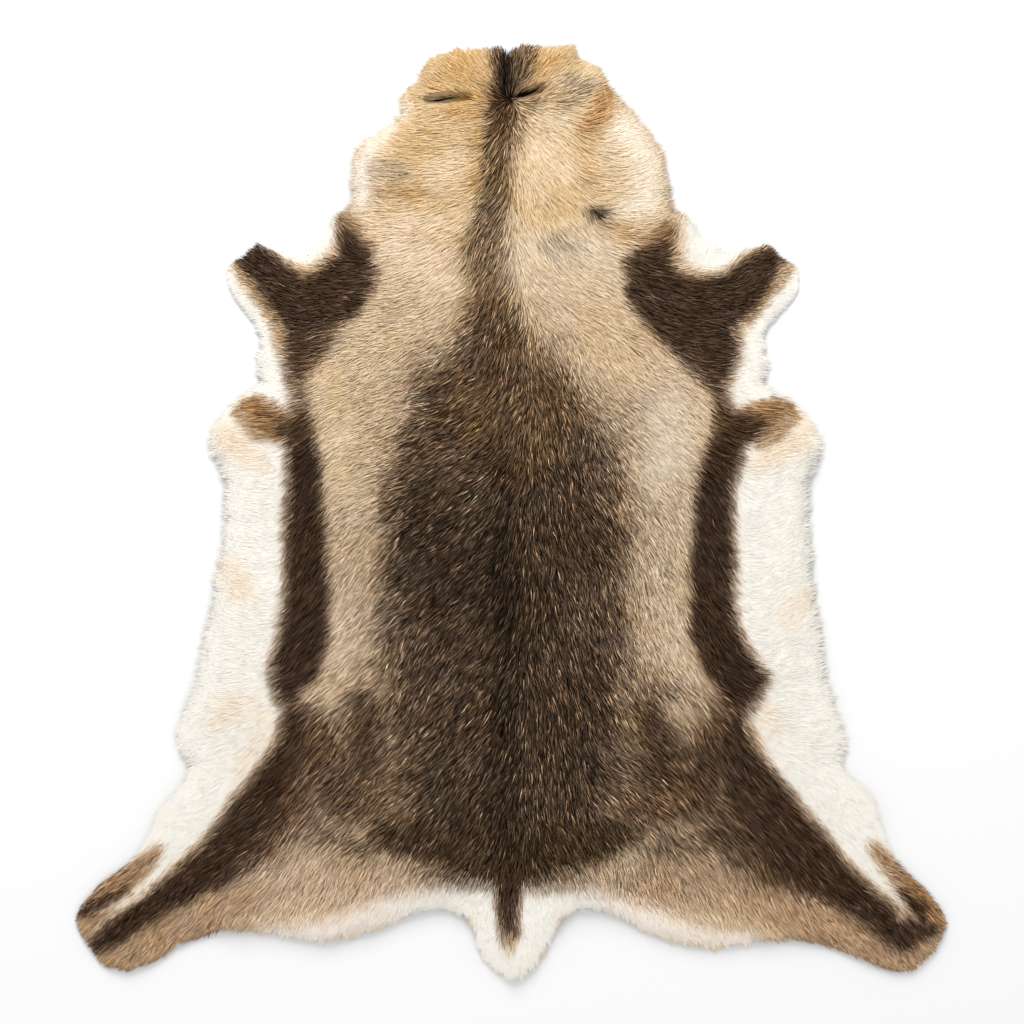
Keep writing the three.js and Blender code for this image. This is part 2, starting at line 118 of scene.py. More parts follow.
# The markings, painted in this order: name, colour, strength, softness of the border in millimetres,
# whether its border has a warm rim, and the points of its stroke: x, y and half width in millimetres.
markings = [
    ("neckGold", "gold", 1, 38, False, [(-90, 552, 75), (-90, 478, 75), (-90, 390, 62), (-78, 340, 50)]),
    ("neckRightBase", "paleGold", 1, 32, False, [
        (60, 552, 50), (72, 478, 75), (97, 402, 88), (60, 352, 50)]),
    ("shoulderLeft", "tan", 1, 38, False, [
        (-140, 278, 75), (-140, 215, 75), (-165, 165, 75), (-178, 115, 50)]),
    ("shoulderLightLeft", "paleGold", 0.5, 30, False, [(-200, 165, 20), (-208, 102, 22), (-213, 40, 20)]),
    ("shoulderRight", "tan", 1, 38, False, [(60, 278, 62), (110, 240, 75), (135, 165, 62)]),
    ("shoulderGoldRight", "gold", 0.5, 28, False, [(91, 278, 20), (125, 215, 22), (135, 159, 20)]),
    ("sideLeft", "side", 1, 28, False, [
        (-215, 140, 38), (-209, 52, 40), (-203, -60, 38), (-209, -160, 38), (-222, -222, 25)]),
    ("sideRight", "side", 1, 28, False, [
        (160, 102, 50), (185, 15, 42), (195, -60, 38), (200, -160, 38), (195, -222, 28)]),
    ("sideLeftHigh", "paleGold", 0.75, 25, False, [(-228, 159, 22), (-218, 90, 28), (-209, 28, 22)]),
    ("sideLeftPatch", "sideLight", 0.7, 20, False, [(-220, -125, 15), (-213, -179, 19)]),
    ("sideRightGrey", "paleGrey", 0.75, 22, False, [(195, 125, 25), (190, 78, 32), (178, 40, 20)]),
    ("sideRightLow", "sideLight", 0.6, 20, False, [(205, -122, 12), (207, -172, 18), (222, -222, 10)]),
    ("hipFillLeft", "hip", 1, 20, False, [
        (-263, -255, 18), (-245, -282, 25), (-230, -312, 38), (-209, -348, 42), (-115, -348, 62)]),
    ("hipFillRight", "hip", 1, 20, False, [
        (272, -242, 18), (255, -278, 25), (235, -310, 38), (210, -348, 45), (110, -348, 62)]),
    ("spineWide", "spineEdge", 0.8, 18, False, [
        (-12, 515, 18), (-19, 452, 21), (-25, 390, 22), (-35, 346, 25), (-34, 302, 30), (-28, 252, 35),
        (-19, 215, 42)]),
    ("spineFaint", "spineMid", 0.75, 14, False, [
        (-12, 502, 11), (-19, 452, 12), (-28, 390, 12), (-38, 340, 15), (-37, 302, 18), (-30, 265, 20),
        (-23, 234, 25)]),
    ("saddleSoft", "saddleSide", 0.85, 35, False, [
        (-29, 265, 15), (-29, 221, 40), (-28, 175, 70), (-23, 121, 116), (-10, 52, 152), (-5, -22, 165),
        (-5, -98, 165), (-5, -172, 168), (-8, -260, 188), (-9, -360, 138)]),
    ("saddle", "saddle", 0.97, 30, False, [
        (-27, 242, 12), (-28, 202, 35), (-29, 155, 58), (-23, 102, 98), (-13, 28, 138), (-8, -48, 150),
        (-5, -122, 148), (-5, -198, 145), (-8, -272, 138), (-9, -360, 112)]),
    ("saddleTop", "saddleWarm", 0.75, 32, False, [
        (-23, 228, 18), (-18, 184, 42), (-10, 134, 72), (10, 100, 60)]),
    ("saddleLeftWarm", "saddleWarm", 0.35, 25, False, [(-90, 115, 25), (-109, 78, 22)]),
    ("saddleMid", "saddleDark", 0.35, 32, False, [
        (-115, -10, 38), (-90, -54, 48), (-28, -98, 42), (-3, -160, 25)]),
    ("saddleMidRight", "saddleDark", 0.2, 32, False, [(41, 28, 38), (78, -10, 42), (91, -66, 35)]),
    ("saddleGreyLeft", "saddleGrey", 0.5, 28, False, [
        (-125, -160, 22), (-110, -222, 15), (-120, -348, 20)]),
    ("saddleGreyRight", "saddleGrey", 0.4, 30, False, [(100, -110, 28), (110, -172, 22)]),
    ("hipBrownLeft", "hipBrown", 0.9, 19, False, [(-188, -238, 19), (-182, -265, 30), (-178, -302, 22)]),
    ("hipBrownRight", "hipBrown", 0.9, 19, False, [(172, -245, 19), (178, -278, 30), (185, -318, 25)]),
    ("hipSoftLeft", "hipSoft", 0.85, 20, False, [(-265, -382, 18), (-222, -405, 22), (-183, -422, 18)]),
    ("hipSoftRight", "hipSoft", 0.8, 20, False, [(170, -422, 18), (222, -412, 25), (272, -391, 20)]),
    ("hipLowRight", "hipSoft", 0.45, 20, False, [(137, -458, 10), (222, -450, 22), (291, -445, 20)]),
    ("footFillLeft", "legTan", 1, 15, False, [
        (-540, -485, 30), (-515, -541, 35), (-453, -562, 28), (-372, -535, 20)]),
    ("footFillRight", "legTan", 1, 15, False, [
        (540, -485, 30), (512, -541, 35), (452, -562, 28), (371, -535, 20)]),
    ("beigeLeft", "beige", 0.95, 20, False, [
        (-159, -466, 18), (-215, -460, 25), (-272, -460, 25), (-334, -472, 18)]),
    ("beigeRight", "legTan", 0.8, 20, False, [
        (160, -466, 22), (222, -466, 28), (285, -472, 28), (347, -491, 20)]),
    ("rump", "rump", 0.97, 11, True, [
        (-168, -398, 10), (-138, -408, 18), (-90, -410, 28), (-40, -418, 32), (-3, -425, 35),
        (41, -419, 32), (91, -411, 31), (132, -405, 20), (160, -398, 10)]),
    ("hemLeft", "hem", 1, 14, False, [
        (-313, -530, 12), (-228, -524, 19), (-165, -504, 22), (-90, -485, 21), (-30, -488, 21)]),
    ("hemRight", "hem", 1, 14, False, [
        (297, -535, 12), (222, -528, 18), (160, -508, 20), (97, -488, 20), (22, -488, 21)]),
    ("neckWhiteLeft", "cream", 0.9, 15, False, [
        (-140, 500, 10), (-159, 472, 12), (-178, 452, 15), (-190, 425, 16), (-185, 390, 12)]),
    ("shoulderCreamLeft", "warmCream", 0.7, 25, False, [(-159, 346, 18), (-115, 312, 25), (-78, 284, 20)]),
    ("creamUnderPatch", "warmCream", 0.6, 18, False, [(-90, 425, 18), (-58, 430, 15)]),
    ("greyPatch", "greyHair", 0.7, 11, False, [(-165, 428, 9), (-138, 421, 9)]),
    ("ochreStreak", "ochre", 0.7, 11, False, [(-163, 400, 6), (-134, 396, 9), (-109, 399, 6)]),
    ("neckTopGold", "deepGold", 0.7, 25, False, [(-88, 542, 20), (-59, 559, 25), (-53, 528, 20)]),
    ("neckGoldSpine", "deepGold", 0.65, 12, False, [
        (-38, 552, 8), (-35, 502, 10), (-40, 452, 11), (-47, 402, 10)]),
    ("neckGoldMid", "deepGold", 0.45, 18, False, [(-115, 450, 11), (-78, 458, 12), (-53, 465, 10)]),
    ("neckCreamMid", "warmCream", 0.5, 15, False, [(-128, 365, 11), (-90, 358, 12), (-63, 360, 10)]),
    ("goldRightSpine", "deepGold", 0.55, 15, False, [(7, 382, 9), (35, 372, 15), (67, 382, 15)]),
    ("creamRightSpine", "warmCream", 0.65, 14, False, [(27, 458, 9), (47, 434, 14), (67, 420, 11)]),
    ("greyShoulderRight", "paleGrey", 0.45, 25, False, [(12, 292, 15), (72, 282, 22), (132, 288, 18)]),
    ("goldStreak", "orange", 0.75, 15, False, [(-80, 500, 10), (-58, 502, 12)]),
    ("brightStreak", "paleGold", 0.45, 18, False, [(-134, 452, 12), (-103, 434, 12), (-65, 452, 10)]),
    ("warmLeft", "orange", 0.35, 22, False, [(-128, 452, 18), (-109, 465, 18)]),
    ("topGoldRight", "deepGold", 0.85, 18, False, [(22, 550, 18), (45, 562, 18), (67, 565, 11)]),
    ("topOchreRight", "ochre", 0.6, 14, False, [(27, 530, 11), (50, 525, 11), (60, 510, 10)]),
    ("greyFleck", "greyHair", 0.8, 10, False, [(72, 535, 11), (95, 525, 11), (70, 510, 8)]),
    ("paleFleck", "paleGrey", 0.6, 14, False, [(62, 492, 10), (55, 472, 11)]),
    ("orangeRight", "deepOrange", 0.85, 12, False, [(115, 515, 10), (111, 498, 14), (92, 475, 10)]),
    ("brownRight", "ochre", 0.8, 10, False, [(120, 530, 8), (113, 509, 10), (100, 485, 8)]),
    ("orangeLow", "orange", 0.5, 18, False, [(92, 452, 11), (97, 415, 12), (95, 384, 9)]),
    ("creamRight", "cream", 0.8, 20, False, [
        (141, 478, 15), (166, 440, 22), (166, 396, 22), (147, 378, 12)]),
    ("creamRightWarm", "tan", 0.4, 15, False, [(132, 440, 10), (145, 402, 10)]),
    ("goldCentre", "gold", 0.6, 20, False, [(41, 371, 15), (72, 384, 18), (35, 415, 12)]),
    ("greyZone", "paleGrey", 0.75, 20, False, [(20, 325, 15), (72, 328, 18), (125, 318, 15)]),
    ("greyZoneDark", "greyHair", 0.55, 15, False, [(45, 332, 8), (78, 330, 8)]),
    ("shadeRight", "ochre", 0.6, 12, False, [(115, 359, 6), (141, 350, 10), (170, 340, 10)]),
    ("spotRight", "black", 0.85, 9, False, [(100, 370, 8), (112, 372, 9)]),
    ("spotTail", "greyHair", 0.6, 11, False, [(88, 355, 5), (60, 345, 6), (41, 332, 6)]),
    ("spineDark", "spineMid", 0.85, 10, False, [
        (-15, 521, 16), (-18, 478, 16), (-22, 434, 15), (-25, 390, 14), (-33, 355, 12), (-40, 321, 11)]),
    ("slitShade", "spineEdge", 0.6, 11, False, [(27, 516, 11), (11, 490, 9), (5, 455, 6)]),
    ("spine", "spine", 0.9, 8, False, [
        (-7, 580, 22), (-8, 558, 19), (-10, 532, 15), (-15, 502, 12), (-19, 471, 9)]),
    ("crestRight", "spineMid", 0.9, 8, False, [(20, 578, 12), (17, 555, 11), (7, 535, 10)]),
    ("crestDark", "black", 0.95, 6, False, [(-9, 568, 5), (-7, 551, 8), (-8, 536, 8), (-13, 525, 5)]),
    ("spineLow", "saddleDark", 0.6, 18, False, [
        (-15, 90, 4), (-13, 15, 12), (-13, -60, 16), (-12, -160, 12), (-12, -260, 12), (-9, -360, 14),
        (-4, -435, 15)]),
    ("saddleLow", "saddleDark", 0.18, 50, False, [
        (-8, -60, 75), (-5, -135, 100), (0, -222, 120), (5, -310, 138), (5, -398, 125)]),
    ("saddleLowRight", "saddleDark", 0.12, 38, False, [(60, -235, 38), (85, -310, 50), (110, -385, 42)]),
    ("spineHigh", "spine", 0.5, 18, False, [(-25, 265, 8), (-23, 202, 12), (-19, 140, 12)]),
    ("whiteLeft", "white", 1, 9, False, [
        (-347, 121, 56), (-343, 90, 75), (-340, 40, 78), (-340, -35, 80), (-343, -110, 81),
        (-355, -172, 80), (-373, -210, 88)]),
    ("whiteRight", "white", 1, 9, False, [
        (342, 90, 75), (342, 40, 78), (342, -35, 82), (342, -110, 85), (347, -172, 82), (367, -216, 78)]),
    ("whiteHipLeft", "white", 1, 9, False, [
        (-384, -235, 98), (-403, -279, 100), (-425, -329, 90), (-453, -372, 75), (-472, -404, 62)]),
    ("whiteHipRight", "white", 1, 9, False, [
        (392, -235, 95), (410, -279, 98), (432, -329, 88), (455, -366, 78), (472, -404, 62)]),
    ("flankCreamLeft", "warmCream", 0.5, 18, False, [(-313, -255, 12), (-310, -282, 12), (-335, -315, 10)]),
    ("flankCreamRight", "warmCream", 0.5, 15, False, [(312, -241, 10), (322, -262, 10)]),
    ("flapCreamLeft", "warmCream", 0.7, 15, False, [(-353, 95, 15), (-333, 78, 15), (-313, 58, 10)]),
    ("flapCreamRight", "warmCream", 0.7, 15, False, [(362, 95, 18), (335, 80, 15), (306, 60, 12)]),
    ("bandLeft", "band", 1, 8, True, [
        (-264, 118, 11), (-264, 90, 16), (-259, 59, 20), (-257, 15, 22), (-255, -48, 25), (-255, -110, 28),
        (-260, -160, 30), (-269, -191, 29), (-278, -212, 19), (-278, -230, 10)]),
    ("bandRight", "band", 1, 8, True, [
        (262, 128, 8), (268, 109, 15), (267, 84, 20), (260, 59, 22), (251, 28, 22), (250, -48, 25),
        (248, -110, 26), (252, -150, 30), (263, -179, 31), (277, -200, 30), (286, -218, 24),
        (286, -235, 12)]),
    ("bandLobeRight", "band", 1, 6, True, [(282, -198, 22), (305, -205, 11)]),
    ("legLeft", "legDark", 1, 9, True, [
        (-273, -250, 9), (-267, -285, 21), (-275, -321, 34), (-297, -359, 39), (-328, -395, 36),
        (-363, -434, 30), (-403, -466, 25), (-437, -490, 21), (-470, -509, 19), (-499, -529, 18),
        (-518, -542, 11)]),
    ("legRight", "legDark", 1, 9, True, [
        (281, -256, 6), (275, -289, 20), (285, -324, 31), (306, -361, 39), (332, -398, 40), (365, -431, 38),
        (397, -462, 32), (428, -489, 29), (460, -514, 25), (485, -535, 18)]),
    ("legInnerLeft", "hip", 0.85, 20, False, [
        (-245, -291, 10), (-255, -348, 18), (-283, -404, 20), (-330, -442, 15)]),
    ("hipJoinLeft", "hip", 0.6, 18, False, [(-245, -255, 10), (-209, -272, 12)]),
    ("hipJoinRight", "hip", 0.55, 18, False, [(185, -218, 15), (237, -235, 15)]),
    ("legInnerRight", "hipBrown", 0.85, 20, False, [
        (245, -291, 15), (245, -348, 25), (270, -400, 30), (322, -450, 20), (375, -489, 12)]),
    ("legTanLeft", "legTan", 0.92, 14, False, [
        (-500, -562, 10), (-463, -545, 19), (-413, -518, 24), (-372, -496, 22), (-330, -485, 18)]),
    ("legTanRight", "legTan", 0.92, 14, False, [
        (487, -566, 10), (450, -548, 19), (412, -522, 24), (370, -504, 24), (328, -491, 19)]),
    ("footWhiteLeft", "white", 1, 8, False, [
        (-428, -408, 19), (-444, -438, 12), (-465, -465, 8), (-488, -490, 4)]),
    ("footWhiteRight", "white", 1, 8, False, [
        (417, -395, 22), (440, -425, 18), (461, -455, 11), (485, -486, 4)]),
    ("footTanLeft", "footTan", 0.95, 8, False, [
        (-443, -424, 5), (-464, -442, 12), (-492, -464, 16), (-516, -485, 15), (-533, -502, 11)]),
    ("footTanRight", "footTan", 0.95, 8, False, [
        (452, -418, 5), (472, -440, 11), (493, -462, 15), (512, -485, 16), (527, -508, 12)]),
    ("footDarkLeft", "legDark", 0.8, 6, False, [(-483, -470, 4), (-510, -488, 9), (-538, -499, 10)]),
    ("footGreyLeft", "paleGrey", 0.95, 4, False, [(-455, -476, 2), (-483, -491, 2), (-518, -516, 2)]),
    ("footStreakLeft", "paleGrey", 0.9, 4, False, [(-468, -474, 2), (-493, -486, 2), (-520, -500, 1)]),
    ("footGoldLeft", "tipTan", 0.7, 5, False, [(-528, -518, 6), (-538, -510, 5)]),
    ("footDarkRight", "legDark", 0.95, 8, False, [
        (488, -478, 5), (510, -492, 11), (502, -522, 15), (522, -525, 11)]),
    ("footStreakRight", "paleGrey", 0.6, 4, False, [(483, -482, 2), (497, -500, 2), (507, -512, 1)]),
    ("footGoldRight", "tipTan", 0.7, 5, False, [(532, -528, 5), (520, -542, 5)]),
    ("whiteWarmLeft", "warmCream", 0.5, 15, False, [(-355, -68, 11), (-333, -98, 15)]),
    ("whiteWarmLow", "warmCream", 0.45, 18, False, [(-328, -235, 12), (-360, -255, 10)]),
    ("whiteWarmRight", "warmCream", 0.45, 15, False, [(367, -110, 11), (347, -125, 15)]),
    ("tailWhite", "white", 1, 8, False, [(-12, -515, 38), (-5, -530, 50), (-5, -562, 45)]),
    ("tailWhiteRight", "white", 1, 8, False, [(35, -505, 20), (41, -529, 20)]),
    ("hemInnerLeft", "white", 0.9, 9, False, [(-125, -492, 10), (-90, -489, 15), (-34, -492, 18)]),
    ("hemInnerRight", "white", 0.9, 9, False, [(22, -492, 18), (66, -488, 15), (97, -492, 10)]),
    ("tailStripe", "legDark", 0.97, 6, True, [
        (-5, -445, 18), (-5, -470, 15), (-5, -491, 12), (-4, -510, 12), (-4, -524, 9)]),
    ("tailTan", "tipTan", 0.7, 5, False, [(-4, -532, 8), (-4, -541, 5)]),
    ("foreBayLeft", "white", 1, 8, False, [
        (-218, 375, 8), (-238, 342, 20), (-259, 330, 22), (-284, 330, 15), (-303, 330, 8)]),
    ("foreBayRight", "white", 1, 8, False, [
        (222, 359, 10), (235, 325, 25), (253, 320, 22), (275, 328, 15)]),
    ("foreWhiteLeft", "white", 1, 9, False, [
        (-365, 305, 18), (-350, 271, 20), (-333, 238, 25), (-320, 202, 32), (-310, 165, 35),
        (-305, 140, 32)]),
    ("foreWhiteRight", "white", 1, 9, False, [
        (375, 309, 18), (360, 278, 22), (340, 248, 28), (320, 215, 32), (312, 184, 38), (300, 150, 32)]),
    ("foreLegLeft", "foreleg", 1, 8, True, [
        (-327, 320, 19), (-307, 299, 22), (-285, 278, 28), (-265, 262, 34), (-243, 261, 36),
        (-220, 271, 36), (-203, 295, 32), (-197, 321, 21), (-203, 344, 12), (-209, 365, 5)]),
    ("foreLegLowLeft", "foreleg", 1, 11, True, [
        (-249, 242, 35), (-257, 218, 28), (-264, 192, 19), (-268, 170, 11), (-265, 150, 7),
        (-264, 132, 6)]),
    ("foreLegRight", "foreleg", 1, 8, True, [
        (336, 316, 6), (321, 315, 18), (303, 294, 26), (282, 271, 31), (242, 250, 42), (203, 255, 42),
        (180, 276, 36), (170, 305, 26), (187, 318, 16)]),
    ("foreLegTipRight", "foreleg", 1, 9, True, [
        (166, 305, 22), (172, 321, 16), (186, 338, 10), (195, 355, 5)]),
    ("foreLegLowRight", "foreleg", 1, 11, True, [
        (220, 234, 42), (235, 212, 35), (246, 190, 24), (252, 169, 15), (257, 150, 9), (261, 132, 6)]),
    ("foreLegBulgeRight", "foreleg", 1, 8, True, [(262, 218, 18), (262, 192, 16), (260, 172, 10)]),
    ("foreWarmLeft", "spineMid", 0.6, 15, False, [(-230, 221, 15), (-250, 198, 12), (-265, 175, 5)]),
    ("foreWarmRight", "spineMid", 0.5, 15, False, [(222, 200, 10), (242, 182, 8)]),
    ("foreOrangeLeft", "elbowOrange", 0.75, 5, False, [
        (-347, 308, 4), (-332, 285, 4), (-313, 258, 4), (-295, 232, 4), (-289, 209, 4)]),
    ("foreOrangeRight", "elbowOrange", 0.8, 5, False, [
        (350, 308, 5), (335, 289, 4), (315, 264, 4), (292, 240, 4)]),
    ("foreTipLeft", "elbowOrange", 0.7, 8, False, [(-210, 368, 5), (-203, 355, 6)]),
    ("foreTipRight", "elbowOrange", 0.75, 9, False, [(167, 330, 6), (182, 345, 8), (195, 358, 6)]),
    ("elbowLeft", "elbowBrown", 0.95, 6, True, [
        (-334, 130, 8), (-320, 132, 12), (-307, 118, 15), (-287, 106, 16), (-267, 102, 15)]),
    ("elbowOrangeLeft", "elbowOrange", 0.8, 5, False, [
        (-343, 124, 4), (-328, 112, 5), (-313, 98, 6), (-302, 94, 5)]),
    ("elbowJoinLeft", "band", 0.85, 8, False, [(-282, 105, 12), (-265, 102, 15)]),
    ("elbowRight", "elbowBrown", 0.95, 6, True, [
        (347, 129, 5), (332, 129, 11), (316, 119, 15), (295, 109, 18), (275, 100, 18)]),
    ("elbowOrangeRight", "elbowOrange", 0.85, 5, False, [
        (355, 122, 4), (341, 111, 5), (325, 96, 6), (310, 88, 5)]),
    ("elbowJoinRight", "band", 0.85, 9, False, [(302, 106, 11), (282, 105, 18), (268, 86, 18)]),
]

# The lie of the coat: x, y, heading in degrees (0 towards +X, 90 towards +Y) and reach in millimetres.
# The neck's guides stand alone and the last ones lie along the back. The paired ones have a heading for
# the left side, then one for the right side as its mirror image.
neckGuides = [
    (-15, 565, 104, 20), (-40, 562, 128, 32), (-72, 555, 146, 35), (-100, 538, 158, 32),
    (-53, 530, 158, 25), (-103, 502, 184, 38), (-63, 495, 194, 30), (-140, 484, 178, 30),
    (-90, 459, 189, 38), (-147, 440, 185, 35), (-184, 434, 176, 28), (-103, 409, 186, 38),
    (-165, 396, 173, 32), (-78, 371, 204, 38), (-140, 359, 186, 38), (-184, 359, 178, 30),
    (-7, 565, 92, 15), (-7, 540, 92, 12), (-8, 492, -104, 14), (-18, 440, -108, 18), (-25, 390, -126, 22),
    (-32, 340, -125, 25), (-32, 290, -110, 28), (-15, 240, -110, 30), (16, 562, 58, 22),
    (45, 562, 44, 25), (75, 558, 34, 25), (97, 534, 14, 28), (62, 528, 24, 28), (31, 525, 32, 20),
    (110, 496, 18, 30), (62, 496, -30, 28), (25, 488, -42, 20), (137, 465, 14, 32), (170, 440, 26, 30),
    (110, 446, -12, 32), (62, 446, -48, 32), (22, 440, -68, 22), (180, 402, 26, 28), (141, 402, 2, 28),
    (60, 396, -52, 32), (16, 390, -84, 22), (162, 371, 8, 25), (28, 346, -60, 25), (60, 325, -50, 28),
    (97, 321, -40, 28), (135, 331, -20, 25), (172, 338, 2, 22), (202, 362, 42, 15),
]
pairedGuides = [
    (-59, 265, -136, -134, 38), (-103, 265, -156, -150, 42), (-153, 265, -166, -158, 38),
    (-65, 165, -142, -112, 42), (-128, 165, -155, -132, 48), (-188, 152, -158, -150, 42),
    (-215, 90, -151, -136, 42), (-78, 65, -148, -104, 48), (-153, 52, -154, -124, 50),
    (-55, -60, -136, -104, 45), (-128, -72, -144, -110, 50), (-203, -60, -130, -124, 45),
    (-55, -210, -130, -106, 45), (-128, -210, -122, -114, 50), (-203, -210, -136, -122, 45),
    (-53, -335, -126, -97, 45), (-140, -335, -144, -134, 52), (-228, -310, -127, -124, 45),
    (-265, 90, -150, -158, 25), (-262, 28, -124, -126, 28), (-262, -60, -116, -128, 28),
    (-265, -160, -126, -126, 28), (-275, -222, -143, -143, 22), (-328, 78, 187, 172, 32),
    (-340, 15, 180, 162, 38), (-343, -60, 168, 152, 38), (-348, -135, 166, 152, 38),
    (-363, -210, 186, 172, 38), (-378, -272, 204, 188, 35), (-395, -348, 216, 212, 38),
    (-297, -60, 206, 186, 15), (-328, 312, 156, 156, 22), (-284, 288, 160, 160, 25),
    (-243, 288, 186, 178, 28), (-203, 340, 110, 122, 20), (-200, 278, 182, 192, 30),
    (-265, 328, 118, 122, 18), (-233, 338, 88, 92, 18), (-350, 284, 188, 188, 22),
    (-325, 234, 188, 188, 25), (-308, 190, 172, 178, 25), (-225, 228, 192, 188, 30),
    (-259, 178, 184, 180, 20), (-297, 146, 186, 186, 20), (-345, 121, 204, 204, 20),
    (-290, 109, 184, 174, 18), (-363, 90, 198, 186, 20), (-300, -310, 220, 222, 35),
    (-350, -385, 222, 224, 38), (-413, -435, 226, 232, 35), (-475, -491, 219, 219, 32),
    (-519, -529, 220, 222, 28), (-453, -541, 222, 223, 28), (-488, -445, 214, 214, 25),
    (-390, -504, 226, 230, 32), (-313, -460, 230, 238, 38), (-263, -385, 230, 222, 38),
    (-225, -491, -122, -116, 38), (-140, -472, -116, -110, 32), (-65, -472, -116, -102, 25),
    (-265, -529, -125, -120, 25), (-90, -410, -126, -120, 38), (-25, -504, -97, -97, 18),
    (-23, -554, -94, -99, 15),
]
backboneGuides = [
    (-5, 190, -104, 26), (-5, 115, -120, 25), (-5, 28, -116, 25), (-5, -60, -106, 25),
    (-5, -148, -112, 25), (-5, -235, -114, 25), (-5, -322, -112, 25), (-5, -410, -102, 25),
    (-4, -491, -92, 15), (-4, -560, -90, 18), (24, 190, -86, 18), (26, 100, -90, 18), (26, -10, -90, 18),
    (26, -120, -92, 18), (26, -240, -90, 18), (24, -360, -90, 18),
]
whorl = {"x": 106, "y": 371, "reach": 22, "strength": 0.7}  # the hair turns outwards all round it


def easeIn(value):
    # Smooth step: 3v^2 - 2v^3 of the value held between 0 and 1.
    held = np.clip(value, 0, 1)
    return held * held * (3 - 2 * held)


def smoothNoise(x, y, size, seed):
    # Value noise from -1 to 1: random numbers on a lattice of that size, eased between its corners.
    cells = 128
    lattice = np.random.default_rng(seed).random((cells, cells)) * 2 - 1
    column, row = np.floor(x / size).astype(int), np.floor(y / size).astype(int)
    across, up = easeIn(x / size - column), easeIn(y / size - row)

    def corner(i, j):
        return lattice[(row + j) % cells, (column + i) % cells]

    low = corner(0, 0) * (1 - across) + corner(1, 0) * across
    high = corner(0, 1) * (1 - across) + corner(1, 1) * across
    return low * (1 - up) + high * up


def mixedNoise(x, y, parts):
    # Sum of value noises, each with its size, its share and its seed.
    return sum(share * smoothNoise(x, y, size, seed) for size, share, seed in parts)


def writtenColour(hexText):
    # A colour as written, for example #4b3d2d, as three display values from 0 to 1.
    return np.array([int(hexText[i:i + 2], 16) / 255 for i in (1, 3, 5)])


def edgeLoop(node):
    # The hide's outline: the vertices level with the solid's widest point, each joined to the next by
    # the triangles just below that level.
    near = 0.1 * mm
    mesh = node.data
    corners = np.empty(len(mesh.loops), np.int32)
    mesh.loops.foreach_get("vertex_index", corners)
    points = np.empty(len(mesh.vertices) * 3)
    mesh.vertices.foreach_get("co", points)
    points = points.reshape(-1, 3)
    merged, same = np.unique(np.round(points, 6), axis=0, return_inverse=True)
    triangles = same.ravel()[corners.reshape(-1, 3)]
    level = merged[np.argmax(merged[:, 0]), 2]
    onEdge = np.abs(merged[:, 2] - level) < near
    following = {}
    for turn in range(3):
        start, end, third = np.roll(triangles, -turn, axis=1).T
        chosen = onEdge[start] & onEdge[end] & (merged[third, 2] < level - near)
        following.update(zip(end[chosen].tolist(), start[chosen].tolist()))
    first = next(iter(following))
    order = [first]
    while following[order[-1]] != first:
        order.append(following[order[-1]])
    return merged[order, :2]


def edgeGap(x, y, loop):
    # Distance to the nearest side of the loop, positive inside: a point is inside when a line to its
    # right crosses the loop an odd number of times.
    nearest = np.full(x.shape, far)
    inside = np.zeros(x.shape, bool)
    for (ax, ay), (bx, by) in zip(loop, np.roll(loop, -1, axis=0)):
        dx, dy = bx - ax, by - ay
        share = np.clip(((x - ax) * dx + (y - ay) * dy) / (dx * dx + dy * dy), 0, 1)
        nearest = np.minimum(nearest, np.hypot(x - ax - share * dx, y - ay - share * dy))
        if dy:
            inside ^= ((ay > y) != (by > y)) & (x < ax + (y - ay) * dx / dy)
    return np.where(inside, nearest, -nearest)


def slitPart(x, y, slit):
    # How far a point is across a slit's line, signed, its share of the way along, which goes from 0 to 1
    # between the ends, and the slit's length.
    _, start, end, _, _ = slit
    startX, startY = start[0] * mm, start[1] * mm
    alongX, alongY = (end[0] - start[0]) * mm, (end[1] - start[1]) * mm
    length = math.hypot(alongX, alongY)
    share = ((x - startX) * alongX + (y - startY) * alongY) / length ** 2
    across = ((y - startY) * alongX - (x - startX) * alongY) / length
    return across, share, length


def slitGap(x, y):
    # Distance from the lips of the nearest slit's open part: across its line less half the width of a
    # blunt-ended lens as long as that part.
    blunt = 0.4
    nearest = np.full(x.shape, far)
    for slit in earSlits:
        across, share, length = slitPart(x, y, slit)
        share, length = share / slit[4], length * slit[4]
        beyond = np.maximum(np.maximum(-share, share - 1), 0) * length
        lip = slit[3] * mm / 2 * np.sin(np.pi * np.clip(share, 0, 1)) ** blunt
        outside = np.sign(np.where(beyond > 0, 1, np.abs(across) - lip))
        nearest = np.minimum(nearest, outside * np.hypot(np.abs(across) - lip * (beyond == 0), beyond))
    return nearest


def zoneMix(x, y, column):
    # The zones' values in that column, each weighing exp(-(distance / reach)^2), on both sides alike.
    weights = np.full(x.shape, mapping["plainWeight"])
    total = weights * mapping["plainDepth"]
    for zone in coatZones:
        for side in (-1, 1):
            away = np.hypot(x - side * zone[1] * mm, y - zone[2] * mm) / (zone[3] * mm)
            weight = np.exp(-away ** 2)
            total += weight * zone[column]
            weights += weight
    return total / weights * mm


